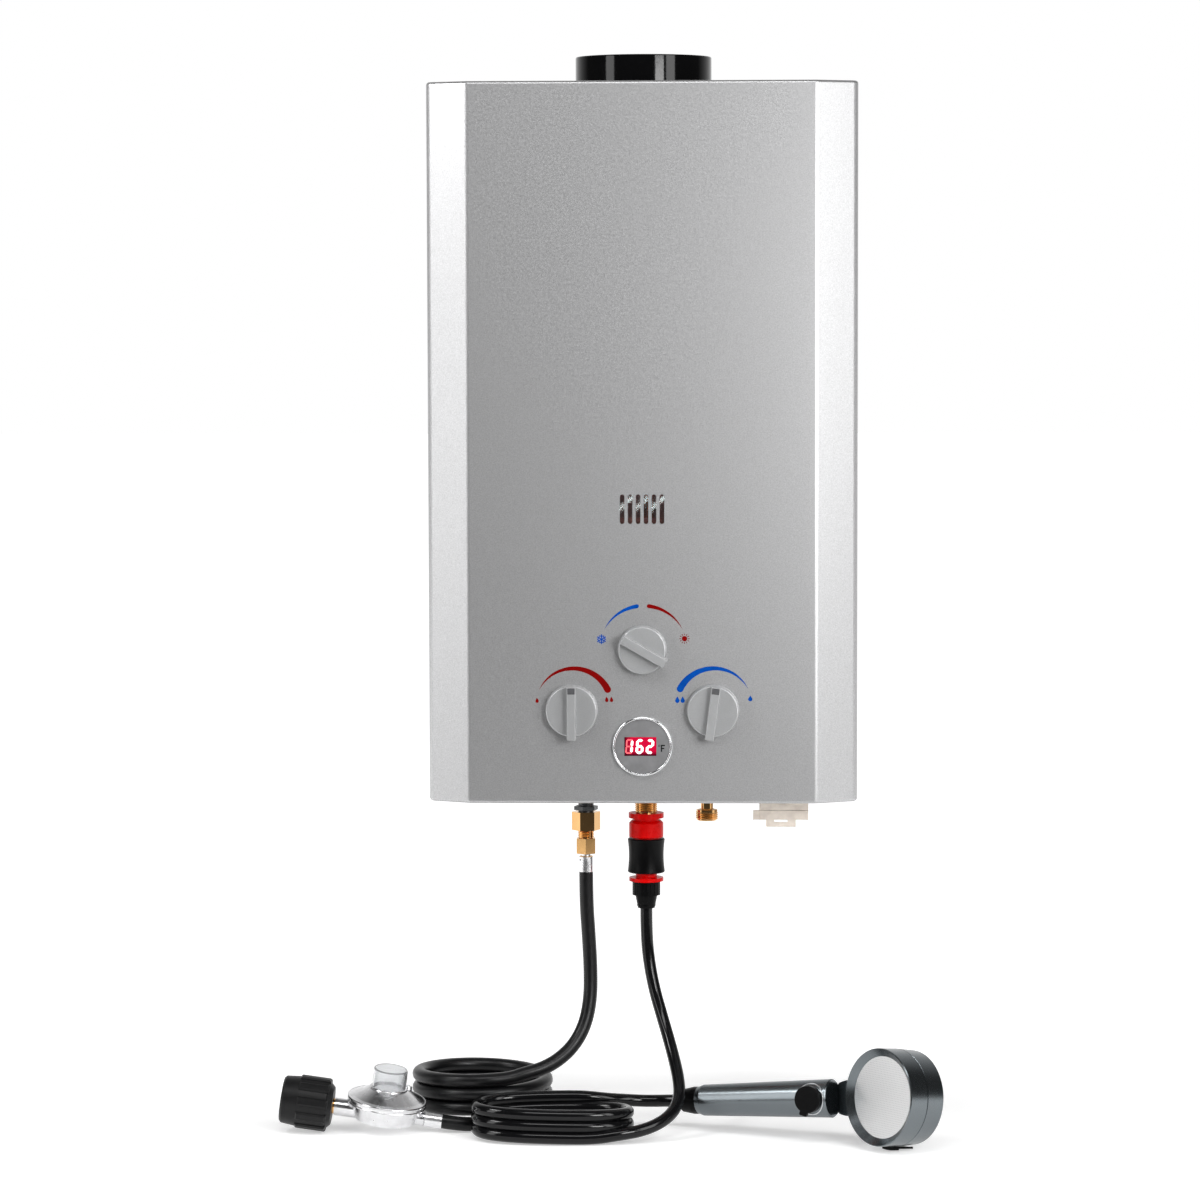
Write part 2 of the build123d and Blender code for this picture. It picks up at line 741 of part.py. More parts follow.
def hot_pipe():
    """From the exchanger down behind the burner and forward to the outlet."""
    bend_z = outlet_top + pipe_bend + outlet_straight
    points = [
        (hot_outlet_x, pipe_back_y, exchanger_outlet_z()), (hot_outlet_x, pipe_back_y, bend_z),
        (hot_outlet_x, valve_y, bend_z), (hot_outlet_x, valve_y, outlet_top),
    ]
    return bent_pipe(points, pipe_radius, pipe_bend)


def cold_pipe():
    """From the water valve up the right side to the exchanger."""
    start_z = water_disc_z + cold_pipe_lift
    riser_x = pipe_side_x + 2 * pipe_bend
    back = pipe_row_ys()[0]
    points = [
        (water_disc_x[1], valve_y, start_z), (riser_x, valve_y, start_z), (riser_x, back, start_z),
        (riser_x, back, exchanger_z), (pipe_side_x + pipe_bend, back, exchanger_z),
    ]
    return bent_pipe(points, pipe_radius, cold_pipe_bend)


# ---- Burner and gas parts ---------------------------------------------------------------------
def burner_set():
    """Flat burner bars on two rails between end plates that reach the back plate."""
    low = burner_bottom
    side_view = make_face(Polyline([
        (0, burner_front, burner_top), (0, burner_back, burner_top),
        (0, burner_back, burner_top - burner_mouth), (0, burner_back - burner_mouth, low),
        (0, burner_front, low), (0, burner_front, low + burner_mouth),
        (0, burner_front + burner_mouth, low + burner_mouth),
        (0, burner_front + burner_mouth / 2, burner_top - burner_mouth / 2),
        (0, burner_front, burner_top - burner_mouth / 2),
    ], close=True))
    half = burner_width / 2
    bar = extrude(side_view, half, both=True)
    bar -= block((-burner_slot / 2, burner_slot / 2), (burner_front + burner_mouth, burner_back - half),
                 (burner_top - burner_slot, burner_top + sheet))
    first = -burner_pitch * (burner_count - 1) / 2
    group = Part() + [Pos(first + burner_pitch * number, 0, 0) * bar for number in range(burner_count)]
    end = -first + burner_pitch
    rail_zs = (burner_top - rail_height, burner_top - rail_height / 2)
    group += block((-end, end), (burner_front - rail_thickness, burner_front), rail_zs)
    group += block((-end, end), (burner_back, burner_back + rail_thickness), rail_zs)
    for side in (-1, 1):
        plate_ends = (side * end, side * (end + end_plate))
        group += block(plate_ends, (burner_front - rail_thickness, -sheet), (burner_bottom, chamber_bottom))
    return group


def gas_manifold():
    """A square tube with one nozzle for each burner bar and a block for the season valve."""
    half = burner_pitch * burner_count / 2
    ys = (manifold_front, manifold_front + manifold_size)
    zs = (burner_bottom, burner_bottom + manifold_size)
    body = block((-half, half), ys, zs)
    first = -burner_pitch * (burner_count - 1) / 2
    for number in range(burner_count):
        x = first + burner_pitch * number
        body += forward(nozzle_radius, (ys[1], ys[1] + nozzle_length), x, zs[0] + manifold_size / 2)
    side = season_block / 2
    body += block((-side, side), (valve_front, valve_front + season_block + spindle_depth / 2),
                  (zs[0] - season_block_drop, zs[0]))
    body += forward(spindle_boss_radius, (valve_front, valve_front + spindle_depth), 0, season_z)
    body += upright(riser_radius, (gas_valve_top, zs[0]), -knob_spread, ys[1] - riser_radius)
    return body - spindle_bore(0, season_z)


def gas_valve():
    """The cast valve over the gas inlet: spindle in front, push rod from the right."""
    front = valve_front + valve_boss
    back = front + gas_valve_depth
    body = block(gas_valve_x, (front, back), (gas_valve_bottom, gas_valve_top))
    body = fillet(body.edges().filter_by(Axis.Z), fold_radius / 2)
    body += forward(spindle_boss_radius, (valve_front, back), -knob_spread, knob_z)
    body -= spindle_bore(-knob_spread, knob_z)
    rod_end = gas_valve_x[1] - push_rod_overlap - push_rod_travel - bore_end_gap
    body -= crossbar(push_rod_radius + running_gap, (rod_end, gas_valve_x[1] + sheet), valve_y, water_disc_z)
    return body


def solenoid():
    """The safety solenoid on the gas valve's left side."""
    left = gas_valve_x[0] - solenoid_length
    y = valve_y - solenoid_radius
    can = crossbar(solenoid_radius, (left, gas_valve_x[0]), y, knob_z + solenoid_radius)
    return fillet(can.edges().sort_by(Axis.X)[0], knob_edge)


def water_valve():
    """The diaphragm valve over the cold inlet: a round two-part case on its side."""
    low, high = water_disc_x
    middle = (low + high) / 2
    body = crossbar(water_disc_radius - water_disc_flange, (low, high), valve_y, water_disc_z)
    seam = (middle - water_disc_flange, middle + water_disc_flange)
    body += crossbar(water_disc_radius, seam, valve_y, water_disc_z)
    body += forward(spindle_boss_radius, (valve_front, valve_y), knob_spread, knob_z)
    body += upright(outlet_radius, (bottom_z + 2 * sheet, water_disc_z), cold_inlet_x, valve_y)
    body -= spindle_bore(knob_spread, knob_z)
    rod_end = low + push_rod_overlap + bore_end_gap
    return body - crossbar(push_rod_radius + running_gap, (low - sheet, rod_end), valve_y, water_disc_z)


def push_rod():
    """Opens the gas valve when the diaphragm moves."""
    ends = (gas_valve_x[1] - push_rod_overlap, water_disc_x[0] + push_rod_overlap)
    rod = crossbar(push_rod_radius, ends, valve_y, water_disc_z)
    collar_x = water_disc_x[0] - switch_length
    return rod + crossbar(push_collar_radius, (collar_x, collar_x + push_collar_width), valve_y, water_disc_z)


def micro_switch():
    """Senses the push rod; its arm is fixed to the water valve's face."""
    right = water_disc_x[0]
    low = water_disc_z + switch_lift
    half = switch_width / 2
    body = block((right - switch_length, right), (valve_y - half, valve_y + half), (low, low + switch_height))
    return chamfer(body.edges().filter_by(Axis.Y), knob_edge)


def igniter_box():
    """The spark igniter on the back plate."""
    half = igniter_width / 2
    zs = (igniter_z - igniter_height / 2, igniter_z + igniter_height / 2)
    body = block((igniter_x - half, igniter_x + half), (-sheet - igniter_depth, -sheet), zs)
    return fillet(body.edges().filter_by(Axis.Y), rim_radius)


def electrodes():
    """The spark and flame-sensing rods on one bracket in front of the burner's rail."""
    front = burner_front - rail_thickness
    lift = burner_top + 2 * ceramic_radius
    half = electrode_spread + 2 * ceramic_radius
    zs = (burner_top - rail_height, lift + ceramic_radius)
    group = block((-half, half), (front - end_plate, front), zs)
    for side in (-1, 1):
        x = side * electrode_spread
        group += forward(ceramic_radius, (front - 3 * end_plate, front + rail_thickness), x, lift)
        group += forward(electrode_radius, (front - 4 * end_plate, front + 5 * rail_thickness), x, lift)
    return group


# ---- Gas connection ---------------------------------------------------------------------------
def gas_inlet_pipe():
    """From the gas valve through the case's bottom, with a hexagonal collar."""
    low = adapter_z[1] - adapter_socket
    pipe = upright(gas_pipe_radius, (low, gas_valve_bottom), gas_inlet_x, valve_y)
    pipe += hexagon(gas_collar_flats, gas_collar_z, gas_inlet_x, valve_y, turn=gas_collar_turn)
    bore = (low - sheet, gas_valve_bottom - gas_pipe_crown)
    return pipe - upright(gas_pipe_bore, bore, gas_inlet_x, valve_y)


def gas_adapter():
    """The brass hexagon on the inlet pipe, with a male flare below."""
    low = flare_z[1] - flare_engagement
    body = hexagon(adapter_flats, adapter_z, gas_inlet_x, valve_y, turn=adapter_turn)
    body += upright(adapter_neck_radius, (low, adapter_z[0]), gas_inlet_x, valve_y)
    socket = (adapter_z[1] - adapter_socket, adapter_z[1] + sheet)
    body -= upright(gas_pipe_radius, socket, gas_inlet_x, valve_y)
    return body - upright(adapter_neck_bore, (low - sheet, adapter_z[1]), gas_inlet_x, valve_y)


def flare_nut():
    """The swivel nut of the gas hose."""
    body = hexagon(flare_flats, flare_z, gas_inlet_x, valve_y, turn=flare_turn)
    socket = (flare_z[1] - flare_engagement, flare_z[1] + sheet)
    body -= upright(adapter_neck_radius, socket, gas_inlet_x, valve_y)
    return body - upright(stem_radius, (flare_z[0] - sheet, flare_z[1]), gas_inlet_x, valve_y)


def gas_hose_ferrules():
    """Crimped ends of the gas hose: one under the case, one at the regulator."""
    low, high = ferrule_z
    shoulder = ferrule_radius - edge_break
    stem_top = flare_z[1] - flare_engagement
    upper = turned([
        (stem_bore, low), (ferrule_radius, low), (ferrule_radius, high - edge_break), (shoulder, high),
        (stem_radius, high), (stem_radius, stem_top), (stem_bore, stem_top),
    ], Location((gas_inlet_x, valve_y, 0)))
    length = -outlet_boss_end
    stem_end = length + reg_stem_depth
    lower = regulator_frame() * along_x([
        (stem_bore, 0), (ferrule_radius, 0), (ferrule_radius, length - edge_break), (shoulder, length),
        (reg_stem_radius, length), (reg_stem_radius, stem_end), (stem_bore, stem_end),
    ])
    return Compound(children=[upper, lower])


# ---- Regulator --------------------------------------------------------------------------------
def regulator_frame():
    """Local X runs down to the hose's end at the local origin; local Z is the dome's axis."""
    return Location(gas_tail_points[0]) * Rot(0, regulator_tilt, 0) * Rot(regulator_lean, 0, 0)


def along_x(outline):
    """A solid of revolution about local X, from (radius, distance to the left) points."""
    face = make_face(Polyline([(-distance, 0, radius) for radius, distance in outline], close=True))
    return revolve(face, Axis.X)


def local_bar(radius, xs):
    """A cylinder on the regulator's axis."""
    return crossbar(radius, xs, 0, 0)


def regulator_body():
    """The die-cast bowl with its inlet and outlet bosses."""
    middle = sum(rim_z) / 2
    bowl = turned([
        (0, -bowl_depth), (bowl_floor_radius, -bowl_depth), bowl_knee, (regulator_radius - rim_lip, rim_z[0]),
        (regulator_radius, rim_z[0]), (regulator_radius, middle), (0, middle),
    ], Location((regulator_centre, 0, 0)))
    bowl += local_bar(inlet_boss_radius, (inlet_boss_end, regulator_centre))
    bowl += local_bar(outlet_boss_radius, (regulator_centre, outlet_boss_end))
    bowl -= local_bar(nipple_radius, (inlet_boss_end - sheet, nipple_root))
    bowl -= local_bar(reg_stem_radius, (outlet_boss_end - reg_stem_depth, outlet_boss_end + sheet))
    return regulator_frame() * bowl


def regulator_bonnet():
    """The pressed dome over the diaphragm."""
    low = sum(rim_z) / 2
    dome = turned([
        (0, low), (regulator_radius, low), (regulator_radius, rim_z[1] - edge_break),
        (regulator_radius - edge_break, rim_z[1]), (regulator_radius - dome_step, rim_z[1] + edge_break),
        (dome_shoulder + dome_step, dome_height - dome_rise), (dome_shoulder, dome_height), (0, dome_height),
    ], Location((regulator_centre, 0, 0)))
    return regulator_frame() * dome


def regulator_cap():
    """The clear cap over the adjusting screw."""
    top = dome_height + reg_cap_height
    inner = reg_cap_radius - reg_cap_wall
    cap = turned([
        (inner, dome_height), (reg_cap_radius, dome_height), (reg_cap_radius, top - edge_break),
        (reg_cap_radius - edge_break, top), (0, top), (0, top - reg_cap_wall), (inner, top - reg_cap_wall),
    ], Location((regulator_centre, 0, 0)))
    return regulator_frame() * cap


def regulator_nipple():
    """The brass tail that carries the handwheel and seals in the tank's valve."""
    front, rear = -nipple_flange_x[0], -nipple_flange_x[1]
    return regulator_frame() * along_x([
        (stem_bore, -nipple_root), (nipple_radius, -nipple_root), (nipple_radius, rear),
        (nipple_flange_radius, rear), (nipple_flange_radius, front),
        (nipple_shoulder_radius, front + edge_break), (nipple_tip_radius, -nipple_tip),
        (stem_bore, -nipple_tip),
    ])


def tank_handwheel():
    """The ribbed coupling nut that turns on the nipple and screws on the tank's valve."""
    bore = nipple_radius + running_gap
    rear = -wheel_end
    mouth = -wheel_mouth
    lip = mouth - wheel_lip_length
    drum = along_x([
        (bore, rear), (wheel_body_radius - wheel_shoulder, rear), (wheel_body_radius, rear + wheel_shoulder),
        (wheel_body_radius, lip), (wheel_lip_radii[0], mouth - wheel_lip_bevel), (wheel_lip_radii[1], mouth),
        (wheel_bore_radius, mouth), (wheel_bore_radius, -wheel_bore_end), (bore, -wheel_bore_end),
    ])
    rib_ends = (rear + wheel_rib_start, lip + edge_break)
    depth = wheel_rib_radius - wheel_body_radius + wheel_rib_root
    half = wheel_rib_width / 2
    rib = block((-rib_ends[1], -rib_ends[0]), (-half, half), (wheel_rib_radius - depth, wheel_rib_radius))
    rib = chamfer(rib.faces().sort_by(Axis.Z)[-1].edges(), wheel_rib_bevel)
    ribs = [Rot(360 / wheel_rib_count * number, 0, 0) * rib for number in range(wheel_rib_count)]
    return regulator_frame() * (drum + ribs)


# ---- Hot outlet and quick connector -----------------------------------------------------------
def hot_outlet():
    """The brass outlet with 1/2-inch pipe thread."""
    pipe = upright(outlet_radius, (outlet_bottom, outlet_top), hot_outlet_x, valve_y)
    bore = (outlet_bottom - sheet, outlet_top - outlet_crown)
    return pipe - upright(outlet_bore, bore, hot_outlet_x, valve_y)


def tap_adaptor():
    """Screws on the outlet and ends in the quick connector's spigot."""
    top, flange, neck, low = adaptor_z
    return turned([
        (outlet_radius, top), (adaptor_flange_radius, top), (adaptor_flange_radius, flange),
        (adaptor_neck_radius, flange), (adaptor_neck_radius, neck),
        (adaptor_body_radius - adaptor_chamfer, neck), (adaptor_body_radius, neck - adaptor_chamfer),
        (adaptor_body_radius, low), (spigot_radius, low),
        (spigot_radius, spigot_bottom), (waterway_radius, spigot_bottom), (waterway_radius, outlet_bottom),
        (outlet_radius, outlet_bottom),
    ], Location((hot_outlet_x, valve_y, 0)))


def connector_body():
    """The fixed barrel inside the sleeve, its flange and the threaded tail in the hose nut."""
    low, high = connector_flange_z
    tail = connector_tail_bottom
    return turned([
        (spigot_radius, barrel_top), (barrel_radius, barrel_top), (barrel_radius, sleeve_z[0]),
        (connector_neck_radius, sleeve_z[0]), (connector_neck_radius, high), (connector_flange_radius, high),
        (connector_flange_radius, low), (connector_tail_radius, low), (connector_tail_radius, tail),
        (waterway_radius, tail), (waterway_radius, spigot_bottom), (spigot_radius, spigot_bottom),
    ], Location((hot_outlet_x, valve_y, 0)))


def release_sleeve():
    """Pulled down to free the connector; its side is slightly hollow."""
    low, high = sleeve_z
    edge = sleeve_radius - edge_break
    inner = barrel_radius + running_gap
    top = (sleeve_radius, 0, high - edge_break)
    bottom = (sleeve_radius, 0, low + edge_break)
    side = ThreePointArc(top, (sleeve_radius - sleeve_waist, 0, (low + high) / 2), bottom)
    rest = Polyline(bottom, (edge, 0, low), (inner, 0, low), (inner, 0, high), (edge, 0, high), top)
    return Pos(hot_outlet_x, valve_y, 0) * revolve(make_face(side + rest), Axis.Z)


def hose_nut():
    """Clamps the shower hose on the connector's tail."""
    low, high = hose_nut_z
    wide, narrow = hose_cone_radii
    tail = connector_tail_bottom
    nut = turned([
        (connector_tail_radius, high), (hose_nut_radius, high), (hose_nut_radius, low), (wide, low),
        (narrow, hose_cone_bottom), (waterway_radius, hose_cone_bottom), (waterway_radius, tail),
        (connector_tail_radius, tail),
    ])
    corner = Rot(0, 0, 45) * Rectangle(hose_nut_rib_depth, hose_nut_rib_depth)
    groove = Pos(hose_nut_radius + hose_nut_rib_depth / 4, 0, low) * extrude(corner, high - low)
    nut -= [Rot(0, 0, 360 / hose_nut_ribs * number) * groove for number in range(hose_nut_ribs)]
    return Pos(hot_outlet_x, valve_y, 0) * nut


def cold_inlet():
    """The brass nipple for the cold supply, with 1/2-inch pipe thread."""
    low, high = cold_cap_z
    top = bottom_z + 2 * sheet
    return turned([
        (cold_bore, low), (outlet_radius - edge_break, low), (outlet_radius, low + edge_break),
        (outlet_radius, high), (cold_neck_radius, high + edge_break), (cold_neck_radius, top),
        (cold_bore, top),
    ], Location((cold_inlet_x, valve_y, 0)))


# ---- Battery box ------------------------------------------------------------------------------
def battery_xs(inset=0.0):
    half = battery_box_width / 2 - inset
    return (battery_box_x - half, battery_box_x + half)


def battery_ys(inset=0.0):
    return (battery_box_front + inset, battery_box_front + battery_box_depth - inset)


def lid_ear_xs():
    """The two X spans of the box's hinge ears."""
    left, right = battery_xs(battery_wall)
    return ((left, left + lid_ear_width), (right - lid_ear_width, right))


def battery_box():
    """An open-bottomed box that hangs in the bottom plate, with hinge ears behind."""
    floor = bottom_z + 2 * sheet
    rear = battery_ys()[1]
    body = block(battery_xs(), battery_ys(), (battery_seam_z, battery_box_top))
    flange = (floor, floor + battery_flange_thickness)
    body += block(battery_xs(-battery_flange), battery_ys(-battery_flange), flange)
    axis_y, axis_z = lid_axis
    for span in lid_ear_xs():
        body += block(span, (rear - battery_wall, axis_y), (axis_z, axis_z + 3 * lid_ear_radius))
        body += crossbar(lid_ear_radius, span, axis_y, axis_z + lid_ear_radius - lid_pin_radius)
    inside = (battery_seam_z - sheet, battery_box_top - battery_wall)
    body -= block(battery_xs(battery_wall), battery_ys(battery_wall), inside)
    return body - crossbar(lid_pin_radius + running_gap, battery_xs(-sheet), axis_y, axis_z)


def battery_lid():
    """A shallow tray hinged at the rear, with a finger tab in front and a clip at the left."""
    top = battery_seam_z - battery_lid_gap
    floor = battery_lid_bottom + battery_wall
    tray = block(battery_xs(), battery_ys(), (battery_lid_bottom, top))
    tray = fillet(tray.edges().filter_by(Axis.Z), knob_edge)
    tray -= block(battery_xs(battery_wall), battery_ys(battery_wall), (floor, top + sheet))
    axis_y, axis_z = lid_axis
    arm = (lid_ear_xs()[0][1] + 2 * panel_gap, lid_ear_xs()[1][0] - 2 * panel_gap)
    tray += block(arm, (battery_ys()[1] - sheet, axis_y), (floor, floor + 2 * battery_wall))
    tray += block(arm, (axis_y - lid_pin_radius, axis_y + lid_pin_radius), (floor, axis_z))
    tray += crossbar(lid_pin_radius, battery_xs(battery_wall), axis_y, axis_z)
    return tray + lid_tab() + lid_clip()


def lid_tab():
    """The slotted finger tab under the lid's front edge."""
    middle = battery_box_x + tab_offset
    front = (battery_box_front, battery_box_front + tab_thickness)
    low = battery_lid_bottom - tab_drop
    tab = block((middle - tab_width / 2, middle + tab_width / 2), front, (low, battery_lid_bottom))
    slot = (middle - tab_slot_width / 2, middle + tab_slot_width / 2)
    return tab - block(slot, front, (low + tab_bar, battery_lid_bottom))


def lid_clip():
    """The separate-coloured clip on the lid's left side."""
    left = battery_xs()[0]
    front = battery_box_front + edge_break
    top = battery_seam_z - battery_lid_gap
    return block((left - clip_width, left), (front, front + clip_thickness), (battery_lid_bottom, top))


def batteries():
    """Two D cells, one behind the other."""
    cells = []
    for side in (-1, 1):
        y = battery_box_front + battery_box_depth / 2 + side * (cell_radius + panel_gap / 2)
        top = cell_bottom + cell_length
        can = upright(cell_radius, (cell_bottom, top), battery_box_x, y)
        nub = upright(cell_nub_radius, (top, top + cell_nub_height), battery_box_x, y)
        cells.append(chamfer(can.edges(), edge_break) + nub)
    return Compound(children=cells)


# ---- Coils of the two hoses -------------------------------------------------------------------
def gas_hose_coil():
    """The outer shape of the gas hose's coil: a round stack of turns."""
    x, y = gas_coil_centre
    outline = Circle(gas_coil_radius + gas_hose_radius) - Circle(gas_coil_radius - gas_hose_radius)
    return Pos(x, y, floor_z) * extrude(outline, gas_coil_height)


def shower_hose_coil():
    """The outer shape of the shower hose's coil: an oval stack of turns."""
    rings = []
    for step in (shower_hose_radius, -shower_hose_radius):
        length = 2 * (shower_coil_half_length + step)
        rings.append(SlotOverall(length, 2 * (shower_coil_half_depth + step)))
    return Pos(*shower_coil_centre, floor_z) * extrude(rings[0] - rings[1], shower_coil_height)


# ---- Handset ----------------------------------------------------------------------------------
def handle_frame():
    """Local X runs along the handle from its hose end to the head; local Z is nearly upright."""
    start = Vector(*handle_start)
    upward = Vector(0, 0, 1) - handle_along * handle_along.Z
    return Plane(origin=start, x_dir=handle_along, z_dir=upward).location


def head_frame():
    """Local Z points out of the spray face; local X is upright."""
    return Plane(origin=head_centre, x_dir=(0, 0, 1), z_dir=head_facing).location


def handset_nut():
    """The conical nut of the shower hose."""
    small, large = handset_nut_radii
    return handle_frame() * along_x([
        (0, 0), (large, 0), (large, handset_nut_length / 3), (small, handset_nut_length),
        (0, handset_nut_length),
    ])


def handset_handle():
    """A slightly tapered grip with a seat for the shut-off."""
    start, end = handle_radii
    shoulder, drop = handle_shoulder
    body = along_x([
        (0, -handle_length), (end - handle_edge, -handle_length), (end, handle_edge - handle_length),
        (start, -shoulder), (start - drop, 0), (0, 0),
    ])
    return handle_frame() * (body - shutoff_place() * shutoff_pocket())


def shutoff_place():
    """From the handle's origin to its axis at the shut-off, turned a little up round the handle."""
    return Pos(handle_length - shutoff_setback, 0, 0) * Rot(-shutoff_rise, 0, 0)


def shutoff_depth():
    """From the handle's axis to the flat that the shut-off disc turns on."""
    start, end = handle_radii
    return end - (end - start) * shutoff_setback / handle_length - shutoff_flat


def shutoff_pocket():
    """A flat seat and a spigot bore in the handle's side, for the shut-off disc."""
    depth = shutoff_depth()
    seat = forward(shutoff_radius + mode_gap, (-depth - 2 * shutoff_height, -depth), 0, 0)
    bore_end = -depth + shutoff_spigot_depth + bore_end_gap
    return seat + forward(shutoff_spigot_radius + running_gap, (-depth - sheet, bore_end), 0, 0)


def handset_switch():
    """The rotary shut-off: a disc with a small tab, turning in the handle's side."""
    seat = -shutoff_depth() - mode_gap
    disc = forward(shutoff_radius, (seat - shutoff_height, seat), 0, 0)
    disc = fillet(disc.edges().sort_by(Axis.Y)[0], knob_edge)
    disc += forward(shutoff_spigot_radius, (seat, seat + mode_gap + shutoff_spigot_depth), 0, 0)
    reach = shutoff_radius + shutoff_tab_length
    tab = block((shutoff_radius / 2, reach), (seat - shutoff_height, seat - shutoff_height / 2),
                (-shutoff_tab_width / 2, shutoff_tab_width / 2))
    tab = fillet(tab.edges().filter_by(Axis.Y).sort_by(Axis.X)[-2:], knob_edge)
    turned_tab = Rot(0, -shutoff_tab_angle, 0) * tab
    return handle_frame() * shutoff_place() * (disc + turned_tab)


def handset_head():
    """The drum behind the spray face, with the neck that the handle screws on."""
    half = head_thickness / 2
    seam = -half + head_thickness * head_seam_share
    floor = half - face_recess - face_thickness
    bore = face_radius + face_gap
    drum = head_frame() * turned([
        (0, -half), (head_rear_radius - head_edge, -half), (head_rear_radius, -half + head_edge),
        (head_radius, seam - head_seam / 2), (head_radius - head_seam, seam),
        (head_radius, seam + head_seam / 2), (head_radius, half - head_bevel),
        (head_radius - head_bevel, half), (bore, half - face_recess), (bore, floor), (0, floor),
    ])
    end = handle_radii[1]
    seal = handle_length + neck_length
    centre = handle_length + head_reach
    neck = handle_frame() * along_x([
        (0, -centre), (end - neck_seal_step, -centre), (end - neck_seal_step, -seal), (end, -seal),
        (end, -handle_length - handle_edge), (end - handle_edge, -handle_length), (0, -handle_length),
    ])
    keep_out = head_frame() * Pos(0, 0, floor) * extrude(Circle(2 * head_radius), 2 * head_radius)
    return drum + (neck - keep_out)


def spray_plate():
    """The round face that the water leaves."""
    low = head_thickness / 2 - face_recess - face_thickness
    return head_frame() * Pos(0, 0, low) * extrude(Circle(face_radius), face_thickness)


def mode_lever():
    """The spray selector: a band under the drum, with a finger tab."""
    return head_frame() * (lever_sector(mode_thickness, mode_sector, mode_axial)
                           + lever_sector(mode_tab_height, mode_tab_sector, mode_tab_axial))


def lever_sector(thickness, angle, ends):
    """A stretch of a ring round the drum, on its underside."""
    inner = head_radius + mode_gap
    half_width = 2 * inner * math.tan(math.radians(angle / 2))
    wedge = make_face(Polyline([(0, 0), (-2 * inner, -half_width), (-2 * inner, half_width)], close=True))
    ring = Circle(inner + thickness) - Circle(inner)
    return Pos(0, 0, ends[0]) * extrude(ring & wedge, ends[1] - ends[0])


# ---- Every sub-part by name -------------------------------------------------------------------
def sub_parts():
    places = knob_places()
    angles = {"gas": gas_rest_angle, "water": water_rest_angle, "season": season_rest_angle}
    radii = {"gas": knob_radius, "water": knob_radius, "season": season_radius}
    parts = {}
    for name, (x, z) in places.items():
        parts[name + "_knob"] = knob(radii[name], x, z, angles[name])
        parts[name + "_spindle"] = spindle(x, z, angles[name])
    makers = [
        front_cover, back_plate, bottom_plate, cover_screws, flue_collar, view_glass, display_bezel,
        display_unit, led_window, smoke_hood, combustion_shell, fin_pack, exchanger_pipe, hot_pipe,
        cold_pipe, burner_set, gas_manifold, gas_valve, solenoid, water_valve, push_rod, micro_switch,
        igniter_box, electrodes, gas_inlet_pipe, gas_adapter, flare_nut, gas_hose_ferrules,
        regulator_body, regulator_bonnet, regulator_cap, regulator_nipple, tank_handwheel, hot_outlet,
        tap_adaptor, connector_body, release_sleeve, hose_nut, cold_inlet, battery_box, battery_lid,
        batteries, gas_hose_coil, shower_hose_coil, handset_nut, handset_handle, handset_switch,
        handset_head, spray_plate, mode_lever,
    ]
    for maker in makers:
        parts[maker.__name__] = maker()
    parts["gas_hose_drop"] = hose("gas_hose_drop", gas_drop_points, gas_hose_radius)
    parts["gas_hose_tail"] = hose("gas_hose_tail", gas_tail_points, gas_hose_radius)
    parts["shower_hose_drop"] = hose("shower_hose_drop", shower_drop_points, shower_hose_radius)
    parts["shower_hose_tail"] = hose("shower_hose_tail", shower_tail_points, shower_hose_radius)
    return parts


def main():
    os.makedirs("parts", exist_ok=True)
    for node, solid in sub_parts().items():
        export_step(solid, os.path.join("parts", node + ".step"))


if __name__ == "__main__":
    main()
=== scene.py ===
"""Looks of the wall-hung gas water heater: finishes, prints, display digits, hoses and small fittings."""

import json
import math

import bmesh
import bpy
from mathutils import Matrix, Vector


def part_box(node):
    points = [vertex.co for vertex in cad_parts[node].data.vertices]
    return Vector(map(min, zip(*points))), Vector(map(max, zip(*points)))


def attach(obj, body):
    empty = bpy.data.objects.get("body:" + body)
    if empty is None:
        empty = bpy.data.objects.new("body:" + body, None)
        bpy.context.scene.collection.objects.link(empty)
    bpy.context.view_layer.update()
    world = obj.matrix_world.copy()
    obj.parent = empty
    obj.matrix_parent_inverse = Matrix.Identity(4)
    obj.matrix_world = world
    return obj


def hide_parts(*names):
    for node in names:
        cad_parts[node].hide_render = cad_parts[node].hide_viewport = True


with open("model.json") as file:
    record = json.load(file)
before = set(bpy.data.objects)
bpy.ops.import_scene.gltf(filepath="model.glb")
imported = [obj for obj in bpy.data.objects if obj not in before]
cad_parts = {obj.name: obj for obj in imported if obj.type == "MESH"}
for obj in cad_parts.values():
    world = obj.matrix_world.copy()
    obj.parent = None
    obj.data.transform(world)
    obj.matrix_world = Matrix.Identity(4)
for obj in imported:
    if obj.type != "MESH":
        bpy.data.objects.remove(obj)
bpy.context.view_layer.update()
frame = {"nodes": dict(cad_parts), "record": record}
nodes = frame["nodes"]
scene = bpy.context.scene

MM = 0.001
HEATER = "heater"        # the body that everything fixed rides on


def mm(*values):
    """Millimetres to a vector in metres."""
    return Vector(values) * MM


def matrix_of(place, across, up):
    """Local axes across and up in the world, local Z out towards the looker; place in millimetres."""
    across, up = Vector(across).normalized(), Vector(up).normalized()
    turn = Matrix((across, up, across.cross(up))).transposed()
    return Matrix.Translation(mm(*place)) @ turn.to_4x4()


def facing_front(place):
    """The matrix of a place on an upright face that looks out of the wall; millimetres."""
    return matrix_of(place, (1, 0, 0), (0, 0, 1))


def axis_of(place, along):
    """The matrix of a place in millimetres with local Z along an axis."""
    return Matrix.Translation(mm(*place)) @ Vector(along).to_track_quat("Z", "Y").to_matrix().to_4x4()


def front_of(node):
    """The middle of a node's front side, in millimetres."""
    low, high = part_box(node)
    return (low[0] + high[0]) / 2 / MM, low[1] / MM, (low[2] + high[2]) / 2 / MM


